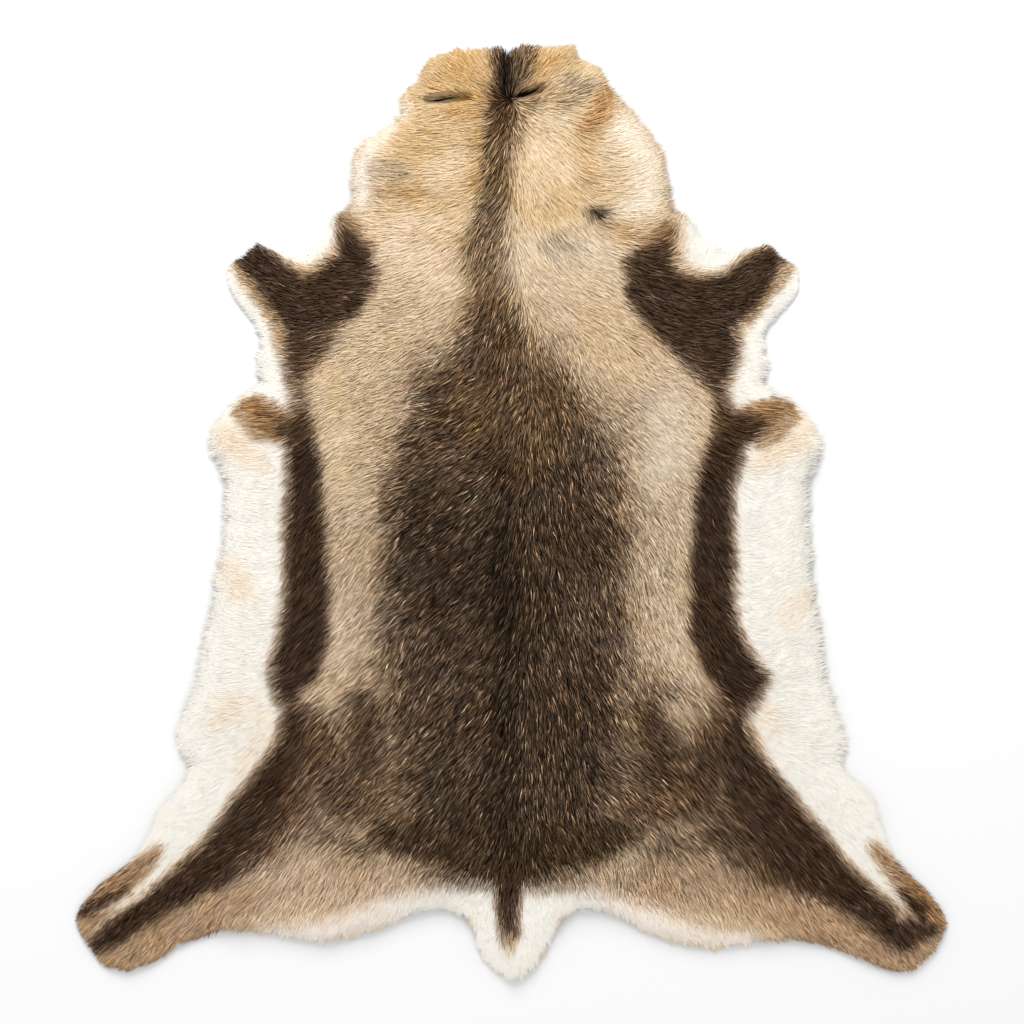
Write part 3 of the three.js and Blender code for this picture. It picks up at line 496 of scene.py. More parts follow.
def hairDirections(x, y, gap):
    # Sum of the comb's guides, each weighing 1 / (1 + (distance / reach)^2)^3, turned away from the
    # whorl, turned outwards near the edge, and then turned a little by noise.
    left = [(gx, gy, angle, reach) for gx, gy, angle, _, reach in pairedGuides]
    right = [(-gx, gy, 180 - angle, reach) for gx, gy, _, angle, reach in pairedGuides]
    dirX, dirY = np.zeros(x.shape), np.zeros(x.shape)
    for gx, gy, angle, reach in neckGuides + left + right + backboneGuides:
        away = ((x - gx * mm) ** 2 + (y - gy * mm) ** 2) / (reach * mm) ** 2
        weight = 1 / (1 + away) ** 3
        dirX += weight * math.cos(math.radians(angle))
        dirY += weight * math.sin(math.radians(angle))
    length = np.hypot(dirX, dirY) + tiny
    dirX, dirY = dirX / length, dirY / length
    fromX, fromY = x - whorl["x"] * mm, y - whorl["y"] * mm
    away = np.hypot(fromX, fromY) + tiny
    pull = whorl["strength"] * np.exp(-(away / (whorl["reach"] * mm)) ** 2)
    dirX, dirY = dirX + pull * fromX / away, dirY + pull * fromY / away
    slopeY, slopeX = np.gradient(gap)
    slope = np.hypot(slopeX, slopeY) + tiny
    outwards = mapping["edgeTurn"] * np.exp(-np.maximum(gap, 0) / mapping["edgeTurnReach"])
    dirX, dirY = dirX - outwards * slopeX / slope, dirY - outwards * slopeY / slope
    heading = np.arctan2(dirY, dirX) + np.radians(mixedNoise(x, y, mapping["turnNoise"]))
    return np.cos(heading), np.sin(heading)


def strokeGap(x, y, path):
    # Distance to a path whose half width changes evenly between its points, negative within the width.
    nearest = np.full(x.shape, far)
    for (ax, ay, aw), (bx, by, bw) in zip(path[:-1], path[1:]):
        dx, dy = bx - ax, by - ay
        share = np.clip(((x - ax) * dx + (y - ay) * dy) / (dx * dx + dy * dy), 0, 1)
        gap = np.hypot(x - ax - share * dx, y - ay - share * dy) - (aw + share * (bw - aw))
        nearest = np.minimum(nearest, gap)
    return nearest


def coatColours(x, y):
    # The markings painted one over another. Each covers easeIn(1/2 - gap / (2 softness)) of what is
    # under it, its border shifted a little by noise, with a warm rim where it meets lighter hair.
    ground = writtenColour(palette["tan"][0])
    colours = np.empty(x.shape + (4,))
    colours[..., :3], colours[..., 3] = ground, palette["tan"][1]
    drift = mapping["borderDrift"] * mixedNoise(x, y, mapping["borderNoise"])
    for _, colour, strength, softness, rimmed, path in markings:
        path = np.array(path) * mm
        soft = softness * mm
        low = (path[:, :2] - path[:, 2:]).min(0) - 2 * soft
        high = (path[:, :2] + path[:, 2:]).max(0) + 2 * soft
        i0, i1 = np.searchsorted(x[0], (low[0], high[0]))
        j0, j1 = np.searchsorted(y[:, 0], (low[1], high[1]))
        part = (slice(j0, j1), slice(i0, i1))
        gap = strokeGap(x[part], y[part], path) + soft * drift[part]
        cover = easeIn(0.5 - gap / (2 * soft))[..., None]
        under = colours[part]
        if rimmed:
            paleness = under[..., :3].mean(-1, keepdims=True) ** mapping["rimFall"]
            rim = mapping["rimWarmth"] * cover * (1 - cover) * paleness
            under[..., :3] += rim * (writtenColour(palette["rimTan"][0]) - under[..., :3])
        tone = np.append(writtenColour(palette[colour][0]), palette[colour][1])
        under += strength * cover * (tone - under)
    return colours


def makeMaps(loop):
    # All of the coat's maps on one grid over the hide.
    low = np.array(cadBox[0])[:2] - mapping["margin"]
    high = np.array(cadBox[1])[:2] + mapping["margin"]
    xs, ys = (np.arange(low[k], high[k], mapping["step"]) for k in (0, 1))
    x, y = np.meshgrid(xs, ys)
    gap = edgeGap(x, y, loop)
    dirX, dirY = hairDirections(x, y, gap)
    rise = 1 - np.exp(-(gap + mapping["edgeHeight"]) / mapping["edgeRise"])
    tufts = mapping["tuftHeight"] * mixedNoise(x, y, mapping["tuftNoise"])
    slit = slitGap(x, y)
    beside = 1 - mapping["slitDip"] * np.exp(-(np.maximum(slit, 0) / mapping["slitReach"]) ** 2)
    depth = (zoneMix(x, y, 4) + tufts) * rise * beside
    return {
        "low": low, "gap": gap, "dirX": dirX, "dirY": dirY, "depth": np.maximum(depth, mapping["lowest"]),
        "hair": zoneMix(x, y, 5), "slit": slit, "colour": coatColours(x, y),
    }


def readMap(maps, name, x, y):
    # The map's value at each place, by bilinear mixing of the four grid points around it.
    grid = maps[name]
    lastCell = 1.001
    u = np.clip((x - maps["low"][0]) / mapping["step"], 0, grid.shape[1] - lastCell)
    v = np.clip((y - maps["low"][1]) / mapping["step"], 0, grid.shape[0] - lastCell)
    i, j = u.astype(int), v.astype(int)
    a, b = u - i, v - j
    if grid.ndim == 3:
        a, b = a[..., None], b[..., None]
    low = grid[j, i] * (1 - a) + grid[j, i + 1] * a
    high = grid[j + 1, i] * (1 - a) + grid[j + 1, i + 1] * a
    return low * (1 - b) + high * b


def gapSlope(x, y):
    # Rise of the distance to the edge along x and y, per step of the maps to either side.
    probe = mapping["step"]
    slopeX = readMap(maps, "gap", x + probe, y) - readMap(maps, "gap", x - probe, y)
    slopeY = readMap(maps, "gap", x, y + probe) - readMap(maps, "gap", x, y - probe)
    return slopeX, slopeY, 2 * probe


loop = edgeLoop(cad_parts["hide"])
maps = makeMaps(loop)
print("maps made:", len(loop), "edge points,", maps["gap"].shape, "grid")


def addMesh(name, points, faces, sides, material, uv=None, floats=None, colours=None, normals=None):
    # One object from whole arrays: points (n, 3), faces (m, sides), a uv for each corner, named
    # numbers or colours for each point, and a normal for each point.
    mesh = bpy.data.meshes.new(name)
    mesh.vertices.add(len(points))
    mesh.vertices.foreach_set("co", np.asarray(points, np.float32).ravel())
    mesh.loops.add(faces.size)
    mesh.loops.foreach_set("vertex_index", np.asarray(faces, np.int32).ravel())
    mesh.polygons.add(len(faces))
    mesh.polygons.foreach_set("loop_start", np.arange(len(faces), dtype=np.int32) * sides)
    mesh.update(calc_edges=True)
    mesh.polygons.foreach_set("use_smooth", np.ones(len(faces), bool))
    if uv is not None:
        mesh.uv_layers.new(name="OFBake").data.foreach_set("uv", np.asarray(uv, np.float32).ravel())
    for key, values in (floats or {}).items():
        data = mesh.attributes.new(key, "FLOAT", "POINT").data
        data.foreach_set("value", np.asarray(values, np.float32))
    for key, values in (colours or {}).items():
        rgba = np.concatenate([values, np.ones((len(values), 1))], axis=1).astype(np.float32)
        mesh.attributes.new(key, "FLOAT_COLOR", "POINT").data.foreach_set("color", rgba.ravel())
    if normals is not None:
        mesh.normals_split_custom_set_from_vertices(normals)
    mesh.materials.append(material)
    obj = bpy.data.objects.new(name, mesh)
    bpy.context.collection.objects.link(obj)
    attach(obj, rowBody)
    return obj


def toLinear(colour):
    # Display values to light: ((c + 0.055) / 1.055)^2.4 above 0.04045, c / 12.92 below.
    held = np.clip(colour, 0, 1)
    return np.where(held > 0.04045, ((held + 0.055) / 1.055) ** 2.4, held / 12.92)


# Hair, felt and suede. Scales of noise are in cycles per metre.
finishes = {
    "hairGloss": 0.05,
    "hairStreak": 0.05,             # how much lighter or darker the streaks are
    "hairRoughness": (0.5, 0.72),
    "streakScale": 820,
    "driftScale": 24,               # the warmth drifts over the hide at this scale, between these values
    "driftSaturation": (0.92, 1.1),
    # painted shade: roots, deep in the coat, are darkened to this share
    "shadedRootTone": 0.95,
    "woolStreak": 0.3,
    "woolAlong": 0.3,               # the felt gets the painted root shade of hair this far up from its root
    "woolGloss": 0.1,
    "woolRoughness": 0.95,
    "woolCurls": 430,
    "woolBump": 1.5 * mm,
    "suedeLight": "#e9dcc3",
    "suedeDark": "#c9b48f",
    "suedeClouds": 7,
    "suedeStretch": 46,
    "suedeNap": 620,
    "suedeNapTone": (0.9, 1.06),
    "suedeRoughness": (0.78, 0.96),
    "suedeBump": 0.6 * mm,
}
noiseMiddle = {"From Min": 0.3, "From Max": 0.7}  # the range that most of a noise lies in


def addNode(tree, kind, inputs=None, **settings):
    # A node with its settings and the values of its unlinked inputs.
    node = tree.nodes.new(kind)
    for key, value in settings.items():
        setattr(node, key, value)
    for key, value in (inputs or {}).items():
        node.inputs[key].default_value = value
    return node


def mapRange(tree, ends, start=None):
    # A node that turns the start range, 0 to 1 unless given, into the range between the two ends.
    return addNode(tree, "ShaderNodeMapRange", {**(start or {}), "To Min": ends[0], "To Max": ends[1]})


def noiseOf(tree, scale, detail, roughness=0.5, distortion=0):
    # Noise over the object's own coordinates.
    place = addNode(tree, "ShaderNodeTexCoord")
    noise = addNode(tree, "ShaderNodeTexNoise", {
        "Scale": scale, "Detail": detail, "Roughness": roughness, "Distortion": distortion})
    tree.links.new(place.outputs["Object"], noise.inputs["Vector"])
    return noise


def makeHairTone():
    # Node group: the coat's colour with fine streaks, a little warmth that drifts over the hide and
    # painted shade that darkens the roots, and a roughness that differs from hair to hair.
    group = bpy.data.node_groups.new("hairTone", "ShaderNodeTree")
    for name, kind, start in (
            ("Coat", "NodeSocketColor", (0.5, 0.4, 0.3, 1)), ("Along", "NodeSocketFloat", 0.5),
            ("Chance", "NodeSocketFloat", 0.5), ("Streak", "NodeSocketFloat", 0.2)):
        group.interface.new_socket(name, in_out="INPUT", socket_type=kind).default_value = start
    group.interface.new_socket("Colour", in_out="OUTPUT", socket_type="NodeSocketColor")
    group.interface.new_socket("Roughness", in_out="OUTPUT", socket_type="NodeSocketFloat")
    source, sink = addNode(group, "NodeGroupInput"), addNode(group, "NodeGroupOutput")
    fine = noiseOf(group, finishes["streakScale"], 2, 0.6)
    drift = noiseOf(group, finishes["driftScale"], 3, 0.55)
    streak = addNode(group, "ShaderNodeMapRange", noiseMiddle)
    lowEnd = addNode(group, "ShaderNodeMath", {0: 1.0}, operation="SUBTRACT")
    highEnd = addNode(group, "ShaderNodeMath", {0: 1.0}, operation="ADD")
    paintedRootShade = mapRange(group, (finishes["shadedRootTone"], 1), {"From Min": 0, "From Max": 0.4})
    shade = addNode(group, "ShaderNodeMath", operation="MULTIPLY")
    toned = addNode(group, "ShaderNodeHueSaturation")
    warmth = mapRange(group, finishes["driftSaturation"], noiseMiddle)
    roughness = mapRange(group, finishes["hairRoughness"])
    for start, end in (
            (source.outputs["Streak"], lowEnd.inputs[1]), (source.outputs["Streak"], highEnd.inputs[1]),
            (fine.outputs["Fac"], streak.inputs["Value"]), (lowEnd.outputs[0], streak.inputs["To Min"]),
            (highEnd.outputs[0], streak.inputs["To Max"]),
            (source.outputs["Along"], paintedRootShade.inputs["Value"]),
            (streak.outputs[0], shade.inputs[0]), (paintedRootShade.outputs[0], shade.inputs[1]),
            (drift.outputs["Fac"], warmth.inputs["Value"]), (warmth.outputs[0], toned.inputs["Saturation"]),
            (shade.outputs[0], toned.inputs["Value"]), (source.outputs["Coat"], toned.inputs["Color"]),
            (source.outputs["Chance"], roughness.inputs["Value"]),
            (toned.outputs["Color"], sink.inputs["Colour"]),
            (roughness.outputs[0], sink.inputs["Roughness"])):
        group.links.new(start, end)
    return group


def newMaterial(name):
    material = bpy.data.materials.new(name)
    material.use_nodes = True
    return material, material.node_tree, material.node_tree.nodes["Principled BSDF"]


def attributeOf(tree, name):
    return addNode(tree, "ShaderNodeAttribute", attribute_name=name, attribute_type="GEOMETRY")


def makeHairMaterial(hairTone):
    material, tree, shader = newMaterial("guardHair")
    tone = addNode(tree, "ShaderNodeGroup", node_tree=hairTone)
    tone.inputs["Streak"].default_value = finishes["hairStreak"]
    tree.links.new(attributeOf(tree, "coatWithPaintedShade").outputs["Color"], tone.inputs["Coat"])
    tree.links.new(attributeOf(tree, "along").outputs["Fac"], tone.inputs["Along"])
    tree.links.new(attributeOf(tree, "chance").outputs["Fac"], tone.inputs["Chance"])
    tree.links.new(tone.outputs["Colour"], shader.inputs["Base Color"])
    tree.links.new(tone.outputs["Roughness"], shader.inputs["Roughness"])
    shader.inputs["Specular IOR Level"].default_value = finishes["hairGloss"]
    return material


def makeWoolMaterial(hairTone):
    material, tree, shader = newMaterial("underwoolFelt")
    tone = addNode(tree, "ShaderNodeGroup", node_tree=hairTone)
    tone.inputs["Streak"].default_value = finishes["woolStreak"]
    tone.inputs["Along"].default_value = finishes["woolAlong"]
    curls = noiseOf(tree, finishes["woolCurls"], 3, 0.7)
    raised = addNode(tree, "ShaderNodeBump", {"Strength": 0.7, "Distance": finishes["woolBump"]})
    tree.links.new(curls.outputs["Fac"], raised.inputs["Height"])
    tree.links.new(raised.outputs["Normal"], shader.inputs["Normal"])
    tree.links.new(attributeOf(tree, "coatWithPaintedShade").outputs["Color"], tone.inputs["Coat"])
    tree.links.new(tone.outputs["Colour"], shader.inputs["Base Color"])
    shader.inputs["Roughness"].default_value = finishes["woolRoughness"]
    shader.inputs["Specular IOR Level"].default_value = finishes["woolGloss"]
    return material


def makeSuedeMaterial():
    material, tree, shader = newMaterial("fleshSuede")
    clouds = noiseOf(tree, finishes["suedeClouds"], 5, 0.6)
    nap = noiseOf(tree, finishes["suedeNap"], 3, 0.7)
    stretch = noiseOf(tree, finishes["suedeStretch"], 4, distortion=1.4)
    blend = addNode(tree, "ShaderNodeValToRGB")
    for element, place, name in zip(blend.color_ramp.elements, (0.35, 0.65), ("suedeDark", "suedeLight")):
        element.position = place
        element.color = (*toLinear(writtenColour(finishes[name])), 1)
    napShade = mapRange(tree, finishes["suedeNapTone"], noiseMiddle)
    toned = addNode(tree, "ShaderNodeHueSaturation")
    roughness = mapRange(tree, finishes["suedeRoughness"])
    height = addNode(tree, "ShaderNodeMath", {1: 0.35}, operation="MULTIPLY_ADD")
    raised = addNode(tree, "ShaderNodeBump", {"Strength": 0.55, "Distance": finishes["suedeBump"]})
    for start, end in (
            (clouds.outputs["Fac"], blend.inputs["Fac"]), (blend.outputs["Color"], toned.inputs["Color"]),
            (nap.outputs["Fac"], napShade.inputs["Value"]), (napShade.outputs[0], toned.inputs["Value"]),
            (toned.outputs["Color"], shader.inputs["Base Color"]),
            (stretch.outputs["Fac"], roughness.inputs["Value"]),
            (roughness.outputs[0], shader.inputs["Roughness"]),
            (nap.outputs["Fac"], height.inputs[0]), (stretch.outputs["Fac"], height.inputs[2]),
            (height.outputs[0], raised.inputs["Height"]),
            (raised.outputs["Normal"], shader.inputs["Normal"])):
        tree.links.new(start, end)
    return material


hairTone = makeHairTone()
hairMaterial = makeHairMaterial(hairTone)
woolMaterial = makeWoolMaterial(hairTone)
suedeMaterial = makeSuedeMaterial()
print("finishes made")

# The skin: a thin plate under the coat, open at the ear slits.

skin = {
    "thickness": 2 * mm,
    "inset": 11 * mm,     # how far its cut edge lies inside the tips of the hair
    "step": 1 * mm,       # it is drawn in by steps of this size
    "reach": 1.3,         # steps in all, as a multiple of the inset
    "gentlest": 0.5,      # a point stops where the slope is gentler, on the middle line of a narrow part
    "slitPoints": 12,
}


def drawnIn(points, inset):
    # Points moved inwards by small steps up the slope of the distance to the edge, until they are that
    # far inside or the slope gets too gentle.
    x, y = points.T.copy()
    for _ in range(int(inset / skin["step"] * skin["reach"])):
        slopeX, slopeY, run = gapSlope(x, y)
        wanting = np.clip(inset - readMap(maps, "gap", x, y), 0, skin["step"]) / run
        wanting *= np.hypot(slopeX, slopeY) / run > skin["gentlest"]
        x += wanting * slopeX
        y += wanting * slopeY
    return np.stack([x, y], axis=1)


def slitRing(slit):
    # A lens: a half sine to either side of the line between the slit's ends.
    _, start, end, width, _ = slit
    count = skin["slitPoints"]
    share = np.concatenate([np.linspace(0, 1, count), np.linspace(1, 0, count)[1:-1]])
    side = np.where(np.arange(len(share)) < count, -0.5, 0.5) * np.sin(np.pi * share) * width
    along = np.subtract(end, start)
    across = np.array([-along[1], along[0]]) / np.hypot(*along)
    return (np.array(start) + share[:, None] * along + side[:, None] * across) * mm


def makeSkin():
    # The outline and the slits' rings filled with triangles, once at the bottom and once at the top,
    # with a wall along each ring.
    rings = [drawnIn(loop, skin["inset"])] + [slitRing(slit) for slit in earSlits]
    flat = np.concatenate(rings)
    filled = np.array(tessellate_polygon([[(x, y, 0) for x, y in ring] for ring in rings]))
    a, b, c = flat[filled].transpose(1, 0, 2)
    turned = (b[:, 0] - a[:, 0]) * (c[:, 1] - a[:, 1]) < (b[:, 1] - a[:, 1]) * (c[:, 0] - a[:, 0])
    filled[turned] = filled[turned, ::-1]
    count = len(flat)
    walls, first = [], 0
    for ring in rings:
        here = np.arange(first, first + len(ring))
        there = np.roll(here, -1)
        x, y = ring.T
        area = np.sum(x * np.roll(y, -1) - np.roll(x, -1) * y)
        if (area > 0) != (first == 0):  # the skin is on the left of each side of the outer ring
            here, there = there, here
        walls.append(np.stack([here, there, there + count], 1))
        walls.append(np.stack([here, there + count, here + count], 1))
        first += len(ring)
    levels = (0, skin["thickness"])
    points = np.concatenate([np.column_stack([flat, np.full(count, level)]) for level in levels])
    faces = np.concatenate([filled[:, ::-1], filled + count] + walls)
    obj = addMesh("hideSkin", points, faces, 3, suedeMaterial)
    obj.data.polygons.foreach_set("use_smooth", np.zeros(len(faces), bool))
    return obj


hideSkin = makeSkin()
print("skin made:", len(hideSkin.data.polygons), "triangles")

# The underwool: a dense felt below the hair, which shows only between the hairs.

wool = {
    "step": 7 * mm,
    "inset": 3.5 * mm,
    "push": 0.8,         # border points move by up to this share of a step
    "height": 0.42,      # share of the coat's depth
    "lowest": 0.3 * mm,  # over the skin
    "bottom": 0.05 * mm,
    # painted shadow in the slits: the felt darkens within this distance of a slit's lips, to this share at
    # them
    "slitSlope": 6 * mm,  # it comes to its height this far from a slit
    "slitShade": 9 * mm,
    "slitShadowDark": 0.06,
    "darkest": 0.42,     # painted shade: how dark the felt is under dark hair, as the hair above shades it
    "lightest": 0.98,
    "brightening": 1.2,
}


def makeUnderwool():
    # A grid at a share of the coat's depth over a flat grid on the skin, joined along their border,
    # which is moved onto the inset line.
    low, high = np.array(cadBox[0])[:2], np.array(cadBox[1])[:2]
    x, y = np.meshgrid(*(np.arange(low[k], high[k], wool["step"]) for k in (0, 1)))
    inside = readMap(maps, "gap", x, y) > wool["inset"]
    rows, columns = x.shape
    index = np.arange(rows * columns).reshape(rows, columns)
    corners = np.stack([index[:-1, :-1], index[:-1, 1:], index[1:, 1:], index[1:, :-1]], -1).reshape(-1, 4)
    quads = corners[inside.ravel()[corners].all(axis=1)]
    border = np.bincount(quads.ravel(), minlength=rows * columns)
    onBorder = ((border > 0) & (border < 4)).ravel()
    x, y = x.ravel().copy(), y.ravel().copy()
    slopeX, slopeY, _ = gapSlope(x, y)
    steep = np.hypot(slopeX, slopeY) + tiny
    farthest = wool["push"] * wool["step"]
    push = np.clip(readMap(maps, "gap", x, y) - wool["inset"], 0, farthest) * onBorder
    x, y = x - push * slopeX / steep, y - push * slopeY / steep
    depth = readMap(maps, "depth", x, y)
    top = np.maximum(skin["thickness"] + wool["lowest"], wool["height"] * depth)
    groove = np.clip(readMap(maps, "slit", x, y) / wool["slitSlope"], 0, 1)
    top = skin["thickness"] + (top - skin["thickness"]) * groove * ~onBorder
    used = np.unique(quads)
    renumber = np.zeros(rows * columns, int)
    renumber[used] = np.arange(len(used))
    quads = renumber[quads]
    upper = np.arange(len(used))
    lower = np.where(onBorder[used], upper, upper + len(used))
    bottom = np.full(len(x), skin["thickness"] + wool["bottom"])
    points = np.concatenate([np.column_stack([x, y, level])[used] for level in (top, bottom)])
    faces = np.concatenate([quads, lower[quads[:, ::-1]]])
    colour = readMap(maps, "colour", x, y)[used][:, :3]
    bright = colour.mean(1, keepdims=True)
    # Painted shadow: the felt darkens towards the lips of a slit.
    shadow = np.clip(readMap(maps, "slit", x, y)[used] / wool["slitShade"], wool["slitShadowDark"], 1)[:, None]
    # Painted shade: the felt is darkened, the more so under dark hair, as the hair above shades it.
    tone = wool["darkest"] + (wool["lightest"] - wool["darkest"]) * bright ** wool["brightening"]
    colour = toLinear(shadow * colour * tone)
    obj = addMesh("underwool", points, faces, 4, woolMaterial, floats={"chance": np.full(len(points), 0.5)},
                  colours={"coatWithPaintedShade": np.concatenate([colour, colour])})
    return obj


underwool = makeUnderwool()
print("underwool made:", len(underwool.data.polygons), "faces")

# The hair: narrow kite-shaped blades that lie over one another in locks.

hair = {
    "spacing": 1.31 * mm,    # between roots, which sets how many hairs there are
    "width": 0.8 * mm,
    "widths": (0.65, 1.3),   # from the narrowest to the widest, as multiples of the width
    "lengths": (0.75, 1.2),
    "bend": 0.42,            # share of its length at which a hair turns with the coat's lie
    "rootInset": 3 * mm,     # no root is nearer to the edge than this
    "slitInset": 0.5 * mm,
    "slitCover": 0.9 * mm,   # how far hair may reach over a slit's lips
    "lockSize": 11 * mm,     # locks lean and lift together
    "lockTurn": 5,           # degrees
    "lockLift": 0.02,
    "lockLength": 0.06,
    "strandSize": 1.7 * mm,  # a few hairs that cling together
    "strandTurn": 4,
    "strandLift": 0.02,
    "strandLength": 0.08,
    "strandPull": 0.25,      # how far their tips are drawn together
    "leastPull": 0.3,        # share of the pull that the least drawn hair has
    "ownTurn": 6,
    "roll": 18,              # of the darkest hairs, falling to none in white
    "paleMix": 0.45,         # how far a guard hair goes from its place's colour to the guard tip's
    "paleMiddle": 0.7,       # share of that mix in its middle
    "paleTurn": 9,           # guard hairs lie on top and less in order
    "paleRise": 0.7,
    "paleWidth": 0.7,        # of the width of the others
    "whiteWidth": 1.8,
    "tuftSize": 9 * mm,      # near the edge the hair runs together into pointed tufts
    "tuftPull": 0.6,
    "tuftLength": 0.12,
    "tuftDepth": 20 * mm,
    "overhang": 9 * mm,      # how far tips may pass the edge, for hair of the length below
    "overhangLength": 24 * mm,
    "overhangFall": 1.5,     # shorter hair may pass it less, by this power of its length
    "overhangParts": (0.4, 0.35, 0.6),  # what a tuft, a strand and a hair's own chance add to that
    "cutSteps": 6,
    "cutMost": 0.15,
    "shortest": 0.3,         # a hair cut back to a smaller share of its length is left out
    "shownAt": 0.62,         # share of a hair's length that has the colour of its place
    "spotBlur": 1.5 * mm,
    "pairShade": 0.85,       # neighbouring roots are by turns lighter and darker
    "ownShade": 0.4,
    "lockShade": 0.05,
    "riseParts": (0.45, 0.2, 0.32),  # how high a hair lies in the coat: middle, by its shade, by chance
    "sleekness": 0.95,       # how much less white hair rises
    "sleekLift": 0.8,
    "rootLevels": (0.56, 0.13, 0.2),  # share of the depth at the root, more if sleek, more if risen
    "middleLevels": (0.7, 0.22),      # and of its middle and its tip, more if risen
    "tipLevels": (0.72, 0.24),
    "lowest": 1.2 * mm,
    "veil": 0.004,           # light that hair of any colour gives back from its gloss
    "gain": 1.2,             # the coat looks paler than its dark hairs, whose light ones lie on top
    "power": 1.17,
    "whitest": 0.93,
    "contrast": 1.34,        # spread of shades in the darkest hair, falling to none in white
    "contrastFall": 1.5,
    "evening": 0.57,         # keeps the mean of the shades at the colour of their place
    "smooth": 0.42,          # how much of that spread is left where there are no pale guard hairs
    "mostPale": 0.03,        # share of pale guard hairs at which all of it is left
    "warming": 0.5,          # how much hue the darker hairs gain
    "greying": 0.58,         # how far the lightest of dark hairs lose their hue
    "greyTint": (1.1, 1, 0.86),
    "flatDark": 0.35,        # how far the normals of dark hair are turned upright, and those of white hair
    "flatWhite": 0.92,
    # painted shade deep in the coat: roots darken to these shares, from dark to white hair, by this power
    "shadedRootDark": 0.45,
    "shadedRootLight": 0.97,
    "shadedRootPower": 0.6,
    "layers": 5,
}
hairSeeds = {"hair": 7, "lock": 11, "strand": 12, "tuft": 13}  # of the random draws


def nearestLock(x, y, size, seed):
    # Lock centres are one to a cell of a square grid, each shifted at random within its cell. The
    # nearest of the nine around a root is its lock. Returns the centre and four random numbers of it.
    rng = np.random.default_rng(seed)
    cells = 512
    shifts = rng.random((cells, cells, 2))
    traits = np.clip(rng.normal(size=(cells, cells, 4)), -2, 2)
    column, row = np.floor(x / size).astype(int), np.floor(y / size).astype(int)
    best = np.full(x.shape, far)
    found = np.zeros((4,) + x.shape)
    for i in (-1, 0, 1):
        for j in (-1, 0, 1):
            shift = shifts[(row + j) % cells, (column + i) % cells]
            lockX = (column + i + shift[..., 0]) * size
            lockY = (row + j + shift[..., 1]) * size
            away = np.hypot(x - lockX, y - lockY)
            closer = away < best
            best = np.where(closer, away, best)
            found = np.where(closer, [lockX, lockY, column + i, row + j], found)
    lockX, lockY = found[:2]
    return lockX, lockY, traits[found[3].astype(int) % cells, found[2].astype(int) % cells].T


def turnedBy(dirX, dirY, angle):
    return dirX * np.cos(angle) - dirY * np.sin(angle), dirX * np.sin(angle) + dirY * np.cos(angle)


def lieAt(x, y, turn):
    # The lie of the coat at each place, turned by its own angle.
    return turnedBy(readMap(maps, "dirX", x, y), readMap(maps, "dirY", x, y), turn)


def drawnTo(tipX, tipY, pull, centreX, centreY, turn, length):
    # Tips drawn by the pull, a share, towards the tip of a hair of that length at the centre of their
    # strand or tuft.
    dirX, dirY = lieAt(centreX, centreY, turn)
    return tipX + pull * (centreX + dirX * length - tipX), tipY + pull * (centreY + dirY * length - tipY)


